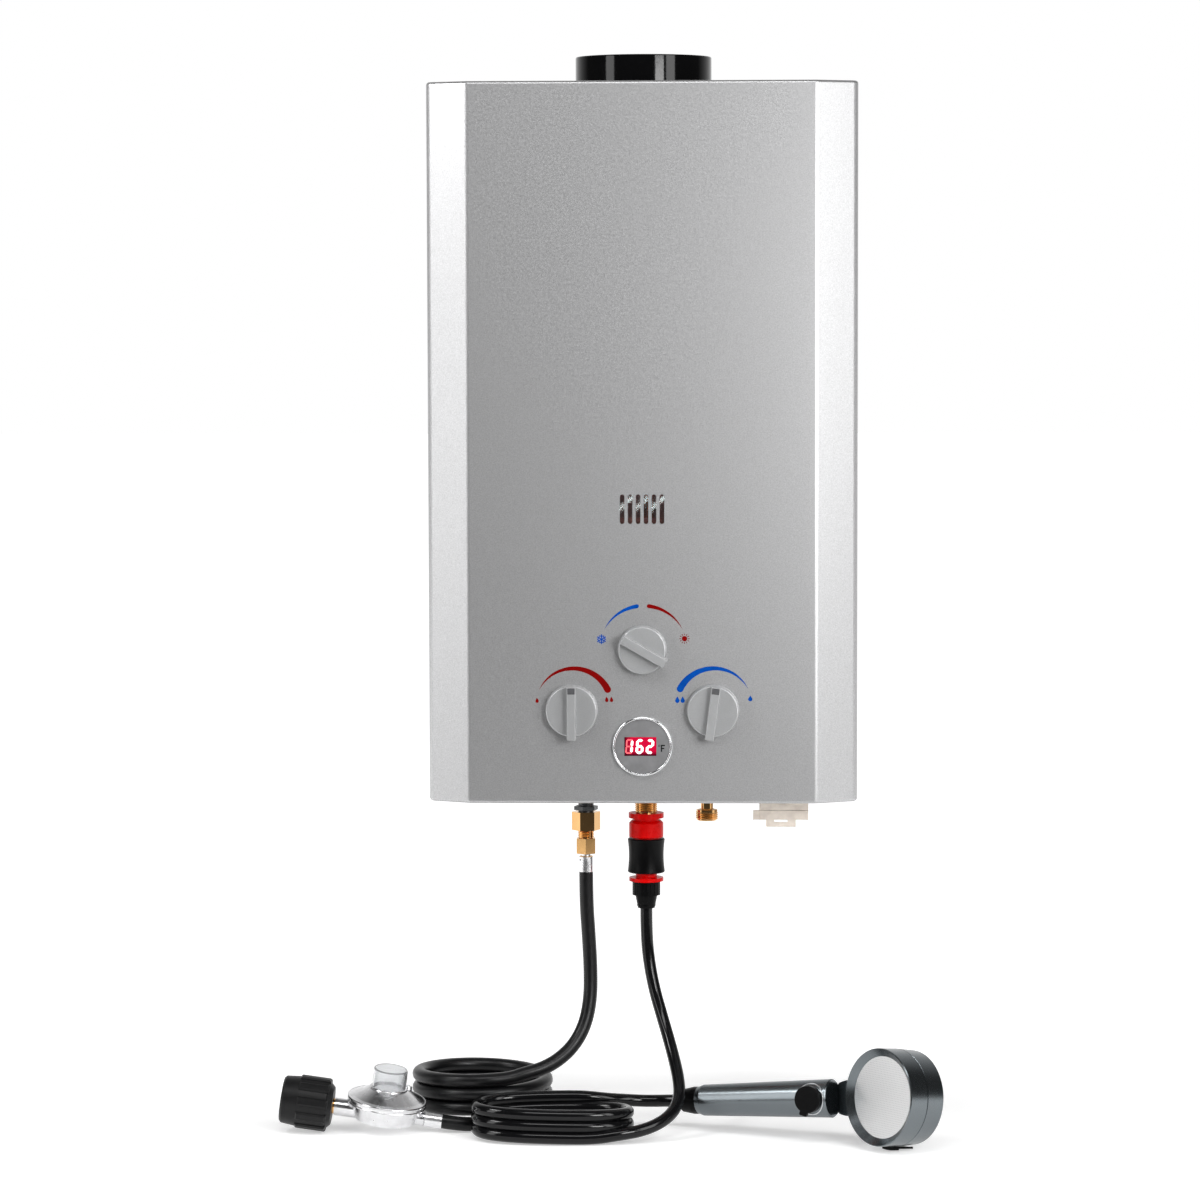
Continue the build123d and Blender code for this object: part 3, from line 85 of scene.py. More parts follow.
# ---- Camera: at the photograph's angle -----------------------------------------------------------
CAMERA_PLACE = mm(100.0, -4285.0, -153.03)
CAMERA_AIM = mm(-40.72, -185.0, -452.37)
CAMERA_ROLL = math.radians(-0.15)
SENSOR = 36.0            # mm
PICTURE = 1200           # pixels across the photograph
FOCAL_PIXELS = 4262.5    # focal length in pixels of the photograph
CLIP_END = 100.0         # m


def make_camera():
    data = bpy.data.cameras.new("camera")
    data.sensor_width = SENSOR
    data.lens = FOCAL_PIXELS / PICTURE * SENSOR
    data.clip_end = CLIP_END
    camera = bpy.data.objects.new("camera", data)
    scene.collection.objects.link(camera)
    turn = (CAMERA_AIM - CAMERA_PLACE).to_track_quat("-Z", "Y").to_matrix()
    turn = turn @ Matrix.Rotation(CAMERA_ROLL, 3, "Z")
    camera.matrix_world = Matrix.Translation(CAMERA_PLACE) @ turn.to_4x4()
    scene.camera = camera


make_camera()

# ---- Hoses: one spline each, through the drop, the coil and the tail -----------------------------
GAS_HOSE = 13.9          # diameters, mm
SHOWER_HOSE = 12.1
TURNS = 3                # whole turns, which a coil's end angle is counted back by
TURN_POINTS = 14         # control points in each turn
gas_drop = [
    (-58.0, -100.0, -727.8), (-58.0, -100.0, -757.0), (-55.6, -100.0, -792.0), (-53.8, -101.5, -825.0),
    (-53.9, -105.5, -853.5), (-58.7, -112.5, -878.5), (-69.7, -122.5, -898.0), (-85.0, -132.5, -911.0),
    (-101.0, -140.0, -918.5), (-117.0, -145.5, -922.0),
]
gas_tail = [
    (-150.0, -157.5, -968.0), (-168.0, -169.5, -968.05), (-183.1, -174.0, -966.15), (-197.0, -174.0, -964.2),
]
shower_drop = [
    (1.5, -100.0, -763.7), (1.5, -100.0, -790.0), (4.2, -102.0, -818.0), (9.6, -107.0, -845.0),
    (16.6, -116.0, -867.4), (23.2, -129.0, -887.1), (29.4, -146.0, -905.9), (34.1, -164.0, -922.3),
    (35.8, -181.0, -936.9), (30.2, -197.0, -949.6), (16.0, -211.5, -958.5), (-2.5, -222.5, -963.5),
    (-23.0, -229.5, -965.6),
]
shower_tail = [
    (-58.1, -162.8, -941.0), (-37.8, -157.4, -944.3), (-19.3, -147.5, -947.3), (1.0, -142.1, -949.3),
    (21.90, -143.89, -948.60), (39.79, -152.60, -946.60),
]


def squared(value, power):
    """A sine or cosine, unchanged at a power of 2; a larger power makes the circle squarer."""
    return math.copysign(abs(value) ** (2 / power), value)


def coil(centre, half_x, half_y, start, end, first_z, last_z, power=2.0, drift=(0.0, 0.0)):
    """Turns between two angles in degrees, seen from above, and between two heights, as control points."""
    count = round(abs(end - start) / 360 * TURN_POINTS)
    outside = 1 / math.cos(math.pi / TURN_POINTS)
    points = []
    for number in range(count + 1):
        share = number / count
        angle = math.radians(start + (end - start) * share)
        x = centre[0] + drift[0] * share + outside * half_x * squared(math.cos(angle), power)
        y = centre[1] + drift[1] * share + outside * half_y * squared(math.sin(angle), power)
        points.append((x, y, first_z + (last_z - first_z) * share))
    return points


def hose(name, points, diameter):
    """A round spline through control points in millimetres, on the heater's body."""
    curve = bpy.data.curves.new(name, "CURVE")
    curve.dimensions = "3D"
    curve.bevel_depth = 1.0      # times each point's radius
    curve.bevel_resolution = 8
    curve.resolution_u = 10
    curve.use_fill_caps = True
    spline = curve.splines.new("NURBS")
    spline.points.add(len(points) - 1)
    for point, place in zip(spline.points, points):
        point.co = (*mm(*place), 1.0)
        point.radius = diameter / 2 * MM
    spline.order_u = 3
    spline.use_endpoint_u = True
    piece = bpy.data.objects.new(name, curve)
    scene.collection.objects.link(piece)
    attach(piece, HEATER)
    return piece


gas_coil = coil(
    centre=(-162.0, -92.0), half_x=63.0, half_y=63.0, start=-62.0, end=-72.0 - TURNS * 360,
    first_z=-926.5, last_z=-968.0,
)
gas_hose = hose("gas_hose", gas_drop + gas_coil + gas_tail, GAS_HOSE)
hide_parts("gas_hose_drop", "gas_hose_coil", "gas_hose_tail")

shower_coil = coil(
    centre=(-87.7, -200.0), half_x=73.0, half_y=35.0, start=-60.0, end=90.0 - TURNS * 360,
    first_z=-968.9, last_z=-941.3, power=2.4, drift=(0.0, 2.0),
)
shower_hose = hose("shower_hose", shower_drop + shower_coil + shower_tail, SHOWER_HOSE)
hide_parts("shower_hose_drop", "shower_hose_coil", "shower_hose_tail")


# ---- Materials: how each kind is made ------------------------------------------------------------
def number_node(tree, operation, *values):
    """The result of a Math node over sockets or numbers."""
    node = tree.nodes.new("ShaderNodeMath")
    node.operation = operation
    for socket, value in zip(node.inputs, values):
        if isinstance(value, (int, float)):
            socket.default_value = value
        else:
            tree.links.new(value, socket)
    return node.outputs[0]


def ranged(tree, value, start, end, low, high):
    """A value from start to end as a number from low to high."""
    node = tree.nodes.new("ShaderNodeMapRange")
    for key, number in zip(("From Min", "From Max", "To Min", "To Max"), (start, end, low, high)):
        node.inputs[key].default_value = number
    tree.links.new(value, node.inputs["Value"])
    return node.outputs["Result"]


def separate(tree, vector):
    """A vector's X, Y and Z."""
    node = tree.nodes.new("ShaderNodeSeparateXYZ")
    tree.links.new(vector, node.inputs[0])
    return node.outputs


def mixed(tree, factor, first, second):
    """The result of a Mix node over two colours."""
    mix = tree.nodes.new("ShaderNodeMix")
    mix.data_type = "RGBA"
    mix.inputs["A"].default_value = (*first, 1.0)
    mix.inputs["B"].default_value = (*second, 1.0)
    tree.links.new(factor, mix.inputs["Factor"])
    return mix.outputs["Result"]


class Finish:
    """A Principled material whose colour, roughness and relief vary by procedural noise."""

    def __init__(self, name, colour, roughness, metallic=0.0, **shader_values):
        self.material = bpy.data.materials.new(name)
        self.material.use_nodes = True
        self.tree = self.material.node_tree
        self.shader = self.tree.nodes["Principled BSDF"]
        self.shader.inputs["Base Color"].default_value = (*colour, 1.0)
        self.shader.inputs["Roughness"].default_value = roughness
        self.shader.inputs["Metallic"].default_value = metallic
        for key, value in shader_values.items():
            self.shader.inputs[key.replace("_", " ")].default_value = value
        self.colour = colour
        self.place = self.tree.nodes.new("ShaderNodeTexCoord").outputs["Object"]

    def noise(self, size, detail=2.0):
        """Noise whose grains are about size millimetres."""
        texture = self.tree.nodes.new("ShaderNodeTexNoise")
        texture.inputs["Scale"].default_value = 1 / (size * MM)
        texture.inputs["Detail"].default_value = detail
        self.tree.links.new(self.place, texture.inputs["Vector"])
        return texture.outputs["Fac"]

    def spread(self, value, low, high, start=0.3, end=0.7):
        """The noise value, from start to end, as a number from low to high."""
        return ranged(self.tree, value, start, end, low, high)

    def mottle(self, value, dark, light, start=0.3, end=0.7):
        """Colour between dark and light times the base colour."""
        share = self.spread(value, 0.0, 1.0, start, end)
        darker = [part * dark for part in self.colour]
        lighter = [min(1.0, part * light) for part in self.colour]
        self.tree.links.new(mixed(self.tree, share, darker, lighter), self.shader.inputs["Base Color"])
        return self

    def rough(self, value, low, high):
        """Roughness between low and high."""
        self.tree.links.new(self.spread(value, low, high), self.shader.inputs["Roughness"])
        return self

    def bump(self, value, height, strength):
        """Relief of a height in millimetres."""
        node = self.tree.nodes.new("ShaderNodeBump")
        node.inputs["Strength"].default_value = strength
        node.inputs["Distance"].default_value = height * MM
        self.tree.links.new(value, node.inputs["Height"])
        self.tree.links.new(node.outputs["Normal"], self.shader.inputs["Normal"])
        return self


def silver_paint():
    """The case's metallic paint, with fine flakes."""
    finish = Finish("silver_paint", (0.50, 0.50, 0.505), 0.42, metallic=0.82,
                    Coat_Weight=0.15, Coat_Roughness=0.3)
    finish.mottle(finish.noise(size=1.1, detail=3.0), dark=0.86, light=1.12)
    finish.rough(finish.noise(size=2.5), low=0.38, high=0.46)
    finish.bump(finish.noise(size=0.7), height=0.02, strength=0.35)
    return finish.material


def knob_silver():
    """Plastic in a silver tone."""
    finish = Finish("knob_silver", (0.46, 0.465, 0.47), 0.38, metallic=0.6)
    finish.mottle(finish.noise(size=0.8), dark=0.95, light=1.05)
    finish.rough(finish.noise(size=3.0), low=0.36, high=0.44)
    return finish.material


def die_cast():
    """Tumbled zinc: bright, with soft dents."""
    finish = Finish("die_cast", (0.74, 0.74, 0.75), 0.24, metallic=1.0)
    finish.mottle(finish.noise(size=9.0), dark=0.92, light=1.06)
    finish.rough(finish.noise(size=5.0), low=0.17, high=0.28)
    finish.bump(finish.noise(size=6.0), height=0.05, strength=0.3)
    return finish.material


HEAD_FACING = (-0.757, -0.642, 0.12)   # the way the spray plate looks
HOLE_PITCH = 2.1                       # mm
HOLE_EDGE = (0.10, 0.17)               # of the pitch, from a hole's middle: painted shade inside, plate outside


def spray_steel():
    """A satin plate with a grid of very fine holes, whose insides are darkened in colour as painted shade.
    """
    finish = Finish("spray_steel", (0.86, 0.86, 0.86), 0.4, metallic=1.0)
    turn = axis_of((0.0, 0.0, 0.0), HEAD_FACING).to_3x3().inverted().to_euler()
    mapping = finish.tree.nodes.new("ShaderNodeMapping")
    mapping.inputs["Rotation"].default_value = turn
    finish.tree.links.new(finish.place, mapping.inputs["Vector"])
    holes = finish.tree.nodes.new("ShaderNodeTexVoronoi")
    holes.voronoi_dimensions = "2D"
    holes.inputs["Scale"].default_value = 1 / (HOLE_PITCH * MM)
    holes.inputs["Randomness"].default_value = 0.0
    finish.tree.links.new(mapping.outputs["Vector"], holes.inputs["Vector"])
    # painted shade: each hole's inside is darker in colour
    finish.mottle(holes.outputs["Distance"], 0.45, 1.0, *HOLE_EDGE)
    finish.rough(finish.noise(size=6.0), low=0.36, high=0.46)
    finish.bump(finish.spread(holes.outputs["Distance"], 0.0, 1.0, *HOLE_EDGE), height=0.2, strength=0.5)
    return finish.material


GLOW_X = (-0.0172, -0.0100)            # metres, from the dark side of the window to the lit one
GLOW_Z = (-0.6025, -0.5985)            # metres, from the dark foot of the window upwards


def led_red():
    """The display's red filter, lit from behind and darker to the left and below."""
    finish = Finish("led_red", (0.05, 0.001, 0.004), 0.15, Emission_Strength=0.65)
    place = separate(finish.tree, finish.place)
    across = finish.spread(place["X"], 0.0, 1.0, *GLOW_X)
    upward = finish.spread(place["Z"], 0.0, 1.0, *GLOW_Z)
    share = number_node(finish.tree, "MULTIPLY", across, upward)
    glow = mixed(finish.tree, share, (0.02, 0.0, 0.01), (1.0, 0.0, 0.06))
    finish.tree.links.new(glow, finish.shader.inputs["Emission Color"])
    finish.mottle(finish.noise(size=0.8), dark=0.9, light=1.1)
    return finish.material


def plain_metal(name, colour, roughness, grain=1.5, contrast=0.06, relief=0.02, wear=0.2):
    """Bare metal with faint stains, six grains wide, and a little wear in its gloss."""
    finish = Finish(name, colour, roughness, metallic=1.0)
    finish.mottle(finish.noise(grain * 6), 1 - contrast, 1 + contrast)
    finish.rough(finish.noise(grain), roughness * (1 - wear), roughness * (1 + wear))
    finish.bump(finish.noise(grain / 3), relief, strength=0.3)
    return finish.material


def moulded(name, colour, roughness, grain=0.5, relief=0.03, specular=0.5, wear=0.15):
    """Moulded plastic or rubber with a fine skin; ink too."""
    finish = Finish(name, colour, roughness, Specular_IOR_Level=specular)
    finish.mottle(finish.noise(size=8.0), dark=0.9, light=1.1)
    finish.rough(finish.noise(size=4.0), roughness * (1 - wear), min(1.0, roughness * (1 + wear)))
    finish.bump(finish.noise(grain), relief, strength=0.4)
    return finish.material


def clear(name, colour, roughness, ior, clearness=1.0, wear=0.5):
    """Tinted glass or clear plastic, faintly smeared."""
    finish = Finish(name, colour, roughness, IOR=ior, Transmission_Weight=clearness)
    finish.rough(finish.noise(size=6.0), roughness * (1 - wear), roughness * (1 + wear))
    return finish.material


def glowing(name, colour, strength):
    """A lit segment: a light-emitting skin with a faint grain."""
    finish = Finish(name, colour, 0.5, Emission_Strength=strength)
    finish.shader.inputs["Emission Color"].default_value = (*colour, 1.0)
    finish.mottle(finish.noise(size=0.6), dark=0.95, light=1.05)
    return finish.material


# ---- Materials: the part's own, by slot, and those of prints and digits --------------------------
METALS = {
    "plated_steel": dict(colour=(0.60, 0.61, 0.62), roughness=0.35),
    "bezel_chrome": dict(
        colour=(0.80, 0.81, 0.82), roughness=0.15, grain=9.0, contrast=0.02, relief=0.0, wear=0.05,
    ),
    "brass_parts": dict(colour=(0.72, 0.42, 0.17), roughness=0.09, grain=6.0, relief=0.01),
    "copper": dict(colour=(0.76, 0.38, 0.24), roughness=0.3, contrast=0.15),
    "stainless": dict(colour=(0.50, 0.48, 0.45), roughness=0.35, contrast=0.12),
    "valve_aluminium": dict(colour=(0.62, 0.63, 0.64), roughness=0.45),
    "crimp_chrome": dict(colour=(0.84, 0.84, 0.85), roughness=0.3, grain=9.0, relief=0.0),
    "battery_can": dict(colour=(0.55, 0.56, 0.58), roughness=0.3),
    "gunmetal": dict(
        colour=(0.152, 0.169, 0.179), roughness=0.25, grain=3.0, contrast=0.02, relief=0.0, wear=0.04,
    ),
}
MOULDED = {
    "display_silver": dict(colour=(0.18, 0.18, 0.184), roughness=0.4, grain=0.8, specular=0.2),
    "black_enamel": dict(colour=(0.002, 0.002, 0.0022), roughness=0.08, grain=3.0, specular=0.3),
    "black_plastic": dict(colour=(0.0035, 0.0035, 0.0037), roughness=0.33, specular=0.08),
    "black_pipe": dict(colour=(0.03, 0.032, 0.035), roughness=0.35, grain=0.8),
    "handwheel_black": dict(
        colour=(0.007, 0.007, 0.0073), roughness=0.42, grain=0.9, relief=0.05, specular=0.25,
    ),
    "red_plastic": dict(colour=(0.66, 0.0, 0.0), roughness=0.3, specular=0.14),
    "ivory_plastic": dict(colour=(0.93, 0.82, 0.72), roughness=0.4),
    "gas_hose_rubber": dict(
        colour=(0.004, 0.004, 0.0045), roughness=0.34, grain=6.0, relief=0.01, specular=0.3,
    ),
    "shower_hose_pvc": dict(
        colour=(0.004, 0.004, 0.0045), roughness=0.12, grain=2.0, relief=0.05, specular=0.3,
    ),
    "print_red": dict(colour=(0.176, 0.0, 0.0), roughness=0.5, specular=0.05),
    "print_blue": dict(colour=(0.0, 0.057, 0.32), roughness=0.5, specular=0.05),
    "print_black": dict(colour=(0.006, 0.007, 0.007), roughness=0.5, specular=0.2),
    "pointer_grey": dict(colour=(0.075, 0.075, 0.08), roughness=0.4),
}
CLEAR = {
    "pane_glass": dict(colour=(0.60, 0.38, 0.36), roughness=0.02, ior=1.5),
    "clear_cap": dict(colour=(0.86, 0.87, 0.88), roughness=0.12, ior=1.46, clearness=0.9),
}
GLOWING = {
    "digit_white": dict(colour=(1.0, 0.86, 0.88), strength=1.0),
    "digit_halo": dict(colour=(0.80, 0.03, 0.08), strength=0.8),
    "digit_unlit": dict(colour=(0.75, 0.09, 0.11), strength=0.7),
}


def make_materials():
    """Every material by its name."""
    made = {
        "silver_paint": silver_paint(),
        "knob_silver": knob_silver(),
        "die_cast": die_cast(),
        "spray_steel": spray_steel(),
        "led_red": led_red(),
    }
    for make, table in ((plain_metal, METALS), (moulded, MOULDED), (clear, CLEAR), (glowing, GLOWING)):
        for name, values in table.items():
            made[name] = make(name, **values)
    return made


materials = make_materials()
for entry in frame["record"]["subparts"]:
    mesh = nodes[entry["node"]].data
    mesh.materials.clear()
    mesh.materials.append(materials[entry["material_slot"]])
gas_hose.data.materials.append(materials["gas_hose_rubber"])
shower_hose.data.materials.append(materials["shower_hose_pvc"])


# ---- Pieces of their own: the forms that they share ----------------------------------------------
MERGE = 1e-7             # m, for points that meet on an axis


def new_piece(name, shape, slot, body=HEATER, material=None, smooth=False):
    """A finished bmesh as an object that rides on a body, in its slot's material unless another is named."""
    bmesh.ops.recalc_face_normals(shape, faces=shape.faces)
    for face in shape.faces:
        face.smooth = smooth
    mesh = bpy.data.meshes.new(name)
    shape.to_mesh(mesh)
    shape.free()
    mesh.materials.append(materials[material or slot])
    piece = bpy.data.objects.new(name, mesh)
    scene.collection.objects.link(piece)
    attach(piece, body)


def slab(shape, outline, matrix, low, high):
    """A closed slab over a plane outline, between two heights."""
    under = [shape.verts.new(matrix @ mm(x, y, low)) for x, y in outline]
    over = [shape.verts.new(matrix @ mm(x, y, high)) for x, y in outline]
    shape.faces.new(list(reversed(under)))
    shape.faces.new(over)
    skin(shape, [under, over])


def skin(shape, rings):
    """Faces from each ring of points to the next."""
    for ring, after in zip(rings, rings[1:]):
        for number in range(len(ring)):
            beyond = (number + 1) % len(ring)
            shape.faces.new((ring[number], ring[beyond], after[beyond], after[number]))


def turned(shape, profile, matrix, steps=64):
    """A closed profile of (radius, height) pairs spun about local Z."""
    rings = []
    for x, y in circle_points(0.0, 0.0, 1.0, steps):
        points = [mm(radius * x, radius * y, height) for radius, height in profile]
        rings.append([shape.verts.new(matrix @ point) for point in points])
    skin(shape, rings + rings[:1])
    bmesh.ops.remove_doubles(shape, verts=shape.verts, dist=MERGE)


def circle_points(x, y, radius, steps=24, start=0.0, end=360.0):
    """Points of an arc, angles in degrees anticlockwise."""
    turns = [math.radians(start + (end - start) * number / steps) for number in range(steps)]
    return [(x + radius * math.cos(turn), y + radius * math.sin(turn)) for turn in turns]


# ---- Prints on the front: marks that swell from a hair line to a round end -----------------------
PRINT_SINK, PRINT_RISE = -0.05, 0.08   # mm, below and above the face that is printed
panel = facing_front((0.0, -185.0, 0.0))
HAIR_LINE = 0.12         # half the width of a mark's thin end
ARC_STEPS, CAP_STEPS = 40, 12
KNOB_ARC = dict(radius=36.9, width=6.6, ease=0.75)
SEASON_ARC = dict(radius=42.6, width=3.9, ease=0.8)
GAS_MIDDLE, WATER_MIDDLE, SEASON_MIDDLE = (-66.6, -555.6), (69.3, -555.4), (1.2, -500.6)
RED_ARCS = ((GAS_MIDDLE, -63.0, 63.5, KNOB_ARC), (SEASON_MIDDLE, 61.5, 7.0, SEASON_ARC))
BLUE_ARCS = ((WATER_MIDDLE, 61.5, -62.5, KNOB_ARC), (SEASON_MIDDLE, -61.5, -8.6, SEASON_ARC))
FLAMES = ((-101.8, -549.6, 5.2), (-34.4, -548.6, 5.4), (-29.8, -548.6, 5.4))   # x, z, height
FLAME_WIDTH, FLAME_LEAN = 3.3, -0.4
DROPS = ((33.8, -548.9, 6.4), (38.9, -548.9, 6.4), (104.2, -547.6, 5.6))
DROP_WIDTH = 4.2
SIDE_UP, NECK_UP = -0.12, 0.14       # of a drop's height: the upper end of its belly, and its neck
NECK_WIDTH, NECK_LEAN = 0.62, 0.3    # shares of the belly's width and of the lean
SNOW_MIDDLE, SNOW_ARMS = (-39.4, -490.4), 6
SNOW_ARM, SNOW_FORK = (4.8, 1.0), (2.3, 0.8)   # length and width of the bars
SNOW_FORK_AT, SNOW_FORK_TURN = 2.3, 55.0
SNOW_LIFT, SNOW_FORK_DIP = 0.002, 0.02   # keep faces apart where bars cross
SUN_MIDDLE, SUN_RADIUS = (40.8, -489.8), 2.6
RAYS, RAY_START, RAY = 12, 3.4, (1.6, 0.65)


def outwards(middle, reach, turn):
    """The place at a reach from a middle, its turn in degrees clockwise from upright."""
    turn = math.radians(turn)
    return middle[0] + reach * math.sin(turn), middle[1] + reach * math.cos(turn)


def arc_mark(shape, centre, thin, thick, radius, width, ease):
    """A mark from the angle of its thin end to that of its thick end, clockwise from upright."""
    outer, inner = [], []
    for number in range(ARC_STEPS + 1):
        share = number / ARC_STEPS
        turn = thin + (thick - thin) * share
        half = max(HAIR_LINE, width / 2 * share ** ease)
        outer.append(outwards(centre, radius + half, turn))
        inner.append(outwards(centre, radius - half, turn))
    middle = outwards(centre, radius, thick)
    begin = math.degrees(math.atan2(outer[-1][1] - middle[1], outer[-1][0] - middle[0]))
    way = -180.0 if thick > thin else 180.0
    cap = circle_points(*middle, width / 2, CAP_STEPS, begin, begin + way)[1:]
    slab(shape, outer + cap + inner[::-1], panel, PRINT_SINK, PRINT_RISE)


def drop_outline(x, y, width, height, lean=0.0):
    """A drop or a small flame: round below, pointed above, its tip leaning aside."""
    half = width / 2
    base = circle_points(x, y - height / 2 + half, half, CAP_STEPS, start=200.0, end=340.0)
    side_y, neck_y = y + height * SIDE_UP, y + height * NECK_UP
    neck_x, neck_half = x + lean * NECK_LEAN, half * NECK_WIDTH
    right = [(x + half, side_y), (neck_x + neck_half, neck_y)]
    left = [(neck_x - neck_half, neck_y), (x - half, side_y)]
    return base + right + [(x + lean, y + height / 2)] + left


def bar_outline(place, length, width, turn):
    """A bar outwards from a place, its turn in degrees clockwise from upright."""
    out = Vector((math.sin(math.radians(turn)), math.cos(math.radians(turn))))
    side = Vector((out.y, -out.x)) * width / 2
    start = Vector(place)
    end = start + out * length
    return [tuple(point) for point in (start - side, start + side, end + side, end - side)]


def add_snowflake(shape):
    """Arms, each with a fork."""
    for number in range(SNOW_ARMS):
        turn = 360.0 / SNOW_ARMS * number
        arm = bar_outline(SNOW_MIDDLE, *SNOW_ARM, turn)
        slab(shape, arm, panel, PRINT_SINK, PRINT_RISE + SNOW_LIFT * number)
        fork = outwards(SNOW_MIDDLE, SNOW_FORK_AT, turn)
        for side in (-SNOW_FORK_TURN, SNOW_FORK_TURN):
            bar = bar_outline(fork, *SNOW_FORK, turn + side)
            slab(shape, bar, panel, PRINT_SINK, PRINT_RISE - SNOW_FORK_DIP)


def add_sun(shape):
    """A disc and its rays."""
    slab(shape, circle_points(*SUN_MIDDLE, SUN_RADIUS), panel, PRINT_SINK, PRINT_RISE)
    for number in range(RAYS):
        turn = 360.0 / RAYS * number
        ray = bar_outline(outwards(SUN_MIDDLE, RAY_START, turn), *RAY, turn)
        slab(shape, ray, panel, PRINT_SINK, PRINT_RISE)


def make_prints():
    """The red and the blue marks, each colour a piece."""
    red, blue = bmesh.new(), bmesh.new()
    for shape, arcs in ((red, RED_ARCS), (blue, BLUE_ARCS)):
        for middle, thin, thick, form in arcs:
            arc_mark(shape, middle, thin, thick, **form)
    for x, z, height in FLAMES:
        slab(red, drop_outline(x, z, FLAME_WIDTH, height, FLAME_LEAN), panel, PRINT_SINK, PRINT_RISE)
    for x, z, height in DROPS:
        slab(blue, drop_outline(x, z, DROP_WIDTH, height), panel, PRINT_SINK, PRINT_RISE)
    add_snowflake(blue)
    add_sun(red)
    new_piece("red_prints", red, "red_plastic", material="print_red")
    new_piece("blue_prints", blue, "display_silver", material="print_blue")


# ---- Display: seven-segment digits on the window, and the degree sign beside it ------------------
DIGIT_WIDTH, DIGIT_HEIGHT, DIGIT_SLANT = 7.5, 14.2, 0.08
SEGMENTS = {                # ends, in half widths and quarter heights from the digit's middle
    "a": ((-1, 2), (1, 2)), "b": ((1, 2), (1, 0)), "c": ((1, 0), (1, -2)), "d": ((-1, -2), (1, -2)),
    "e": ((-1, 0), (-1, -2)), "f": ((-1, 2), (-1, 0)), "g": ((-1, 0), (1, 0)),
}
DIGITS = (("bc", -10.8), ("acdefg", -0.6), ("abged", 9.3))   # lit segments of 1, 6 and 2, and their x
UNLIT_KEYS, UNLIT_X = "adefg", -10.6   # the segments that the 1 leaves dark
LIT = dict(width=DIGIT_WIDTH, stroke=2.4)
HALO = dict(width=DIGIT_WIDTH + 0.7, stroke=2.9)
UNLIT = dict(width=DIGIT_WIDTH - 0.5, stroke=1.4)
LIT_RISE, HALO_RISE, UNLIT_RISE = 0.16, 0.08, 0.12
SIGN_BARS = (               # of the letter: foot or left end, length, width, turn
    ((18.4, -599.4), 6.8, 1.3, 0.0), ((18.4, -593.2), 3.4, 1.3, 90.0), ((18.4, -596.1), 2.8, 1.2, 90.0),
)
DEGREE_PLACE, DEGREE_INNER, DEGREE_OUTER = (16.2, -593.5, 0.0), 0.55, 1.0


def segment_outline(x, ends, width, stroke):
    """A segment with pointed ends."""
    half_x, half_y = (width - stroke) / 2, (DIGIT_HEIGHT - stroke) / 4
    first, last = [Vector((end[0] * half_x, end[1] * half_y)) for end in ends]
    along = (last - first).normalized()
    side = Vector((-along.y, along.x)) * stroke / 2
    inset = along * stroke / 2
    outline = [
        first, first + inset - side, last - inset - side, last, last - inset + side, first + inset + side,
    ]
    return [(x + point.x + DIGIT_SLANT * point.y, point.y) for point in outline]


def add_segments(shape, keys, x, form, rise):
    """Some of a digit's segments, on the window."""
    window = facing_front(front_of("led_window"))
    for key in keys:
        slab(shape, segment_outline(x, SEGMENTS[key], **form), window, 0.0, rise)


def make_digits():
    lit, halo, unlit = bmesh.new(), bmesh.new(), bmesh.new()
    for keys, x in DIGITS:
        add_segments(lit, keys, x, LIT, LIT_RISE)
        add_segments(halo, keys, x, HALO, HALO_RISE)
    add_segments(unlit, UNLIT_KEYS, UNLIT_X, UNLIT, UNLIT_RISE)
    new_piece("digits_lit", lit, "led_red", material="digit_white")
    new_piece("digits_halo", halo, "led_red", material="digit_halo")
    new_piece("digits_unlit", unlit, "led_red", material="digit_unlit")


def make_degree_sign():
    """The unit's ring and letter, printed on the display's face."""
    face = facing_front((0.0, front_of("display_unit")[1], 0.0))
    sign = bmesh.new()
    for bar in SIGN_BARS:
        slab(sign, bar_outline(*bar), face, PRINT_SINK, PRINT_RISE)
    ring = [
        (DEGREE_INNER, PRINT_SINK), (DEGREE_OUTER, PRINT_SINK),
        (DEGREE_OUTER, PRINT_RISE), (DEGREE_INNER, PRINT_RISE),
    ]
    turned(sign, ring, face @ Matrix.Translation(mm(*DEGREE_PLACE)), steps=24)
    new_piece("degree_sign", sign, "black_plastic", material="print_black")


# ---- Inserts in the knobs' pointers --------------------------------------------------------------
POINTERS = (             # body, x, z, turn in degrees, how far out the insert lies, material
    ("gas_knob", -68.3, -559.5, 0.0, 20.3, "pointer_grey"),
    ("water_knob", 68.3, -559.5, 7.5, 20.3, "pointer_grey"),
    ("season_knob", 0.0, -500.5, -60.0, 18.6, "knob_silver"),
)
INSERT_HALF_X, INSERT_HALF_Z, INSERT_CORNER = 3.2, 2.6, 0.4
INSERT_SINK, INSERT_RISE = -0.1, 0.12
RAISED_X, RAISED_Z = 0.78, 0.74        # the share of the season knob's insert that stands higher
RAISED_SINK, RAISED_RISE = 0.1, 0.3


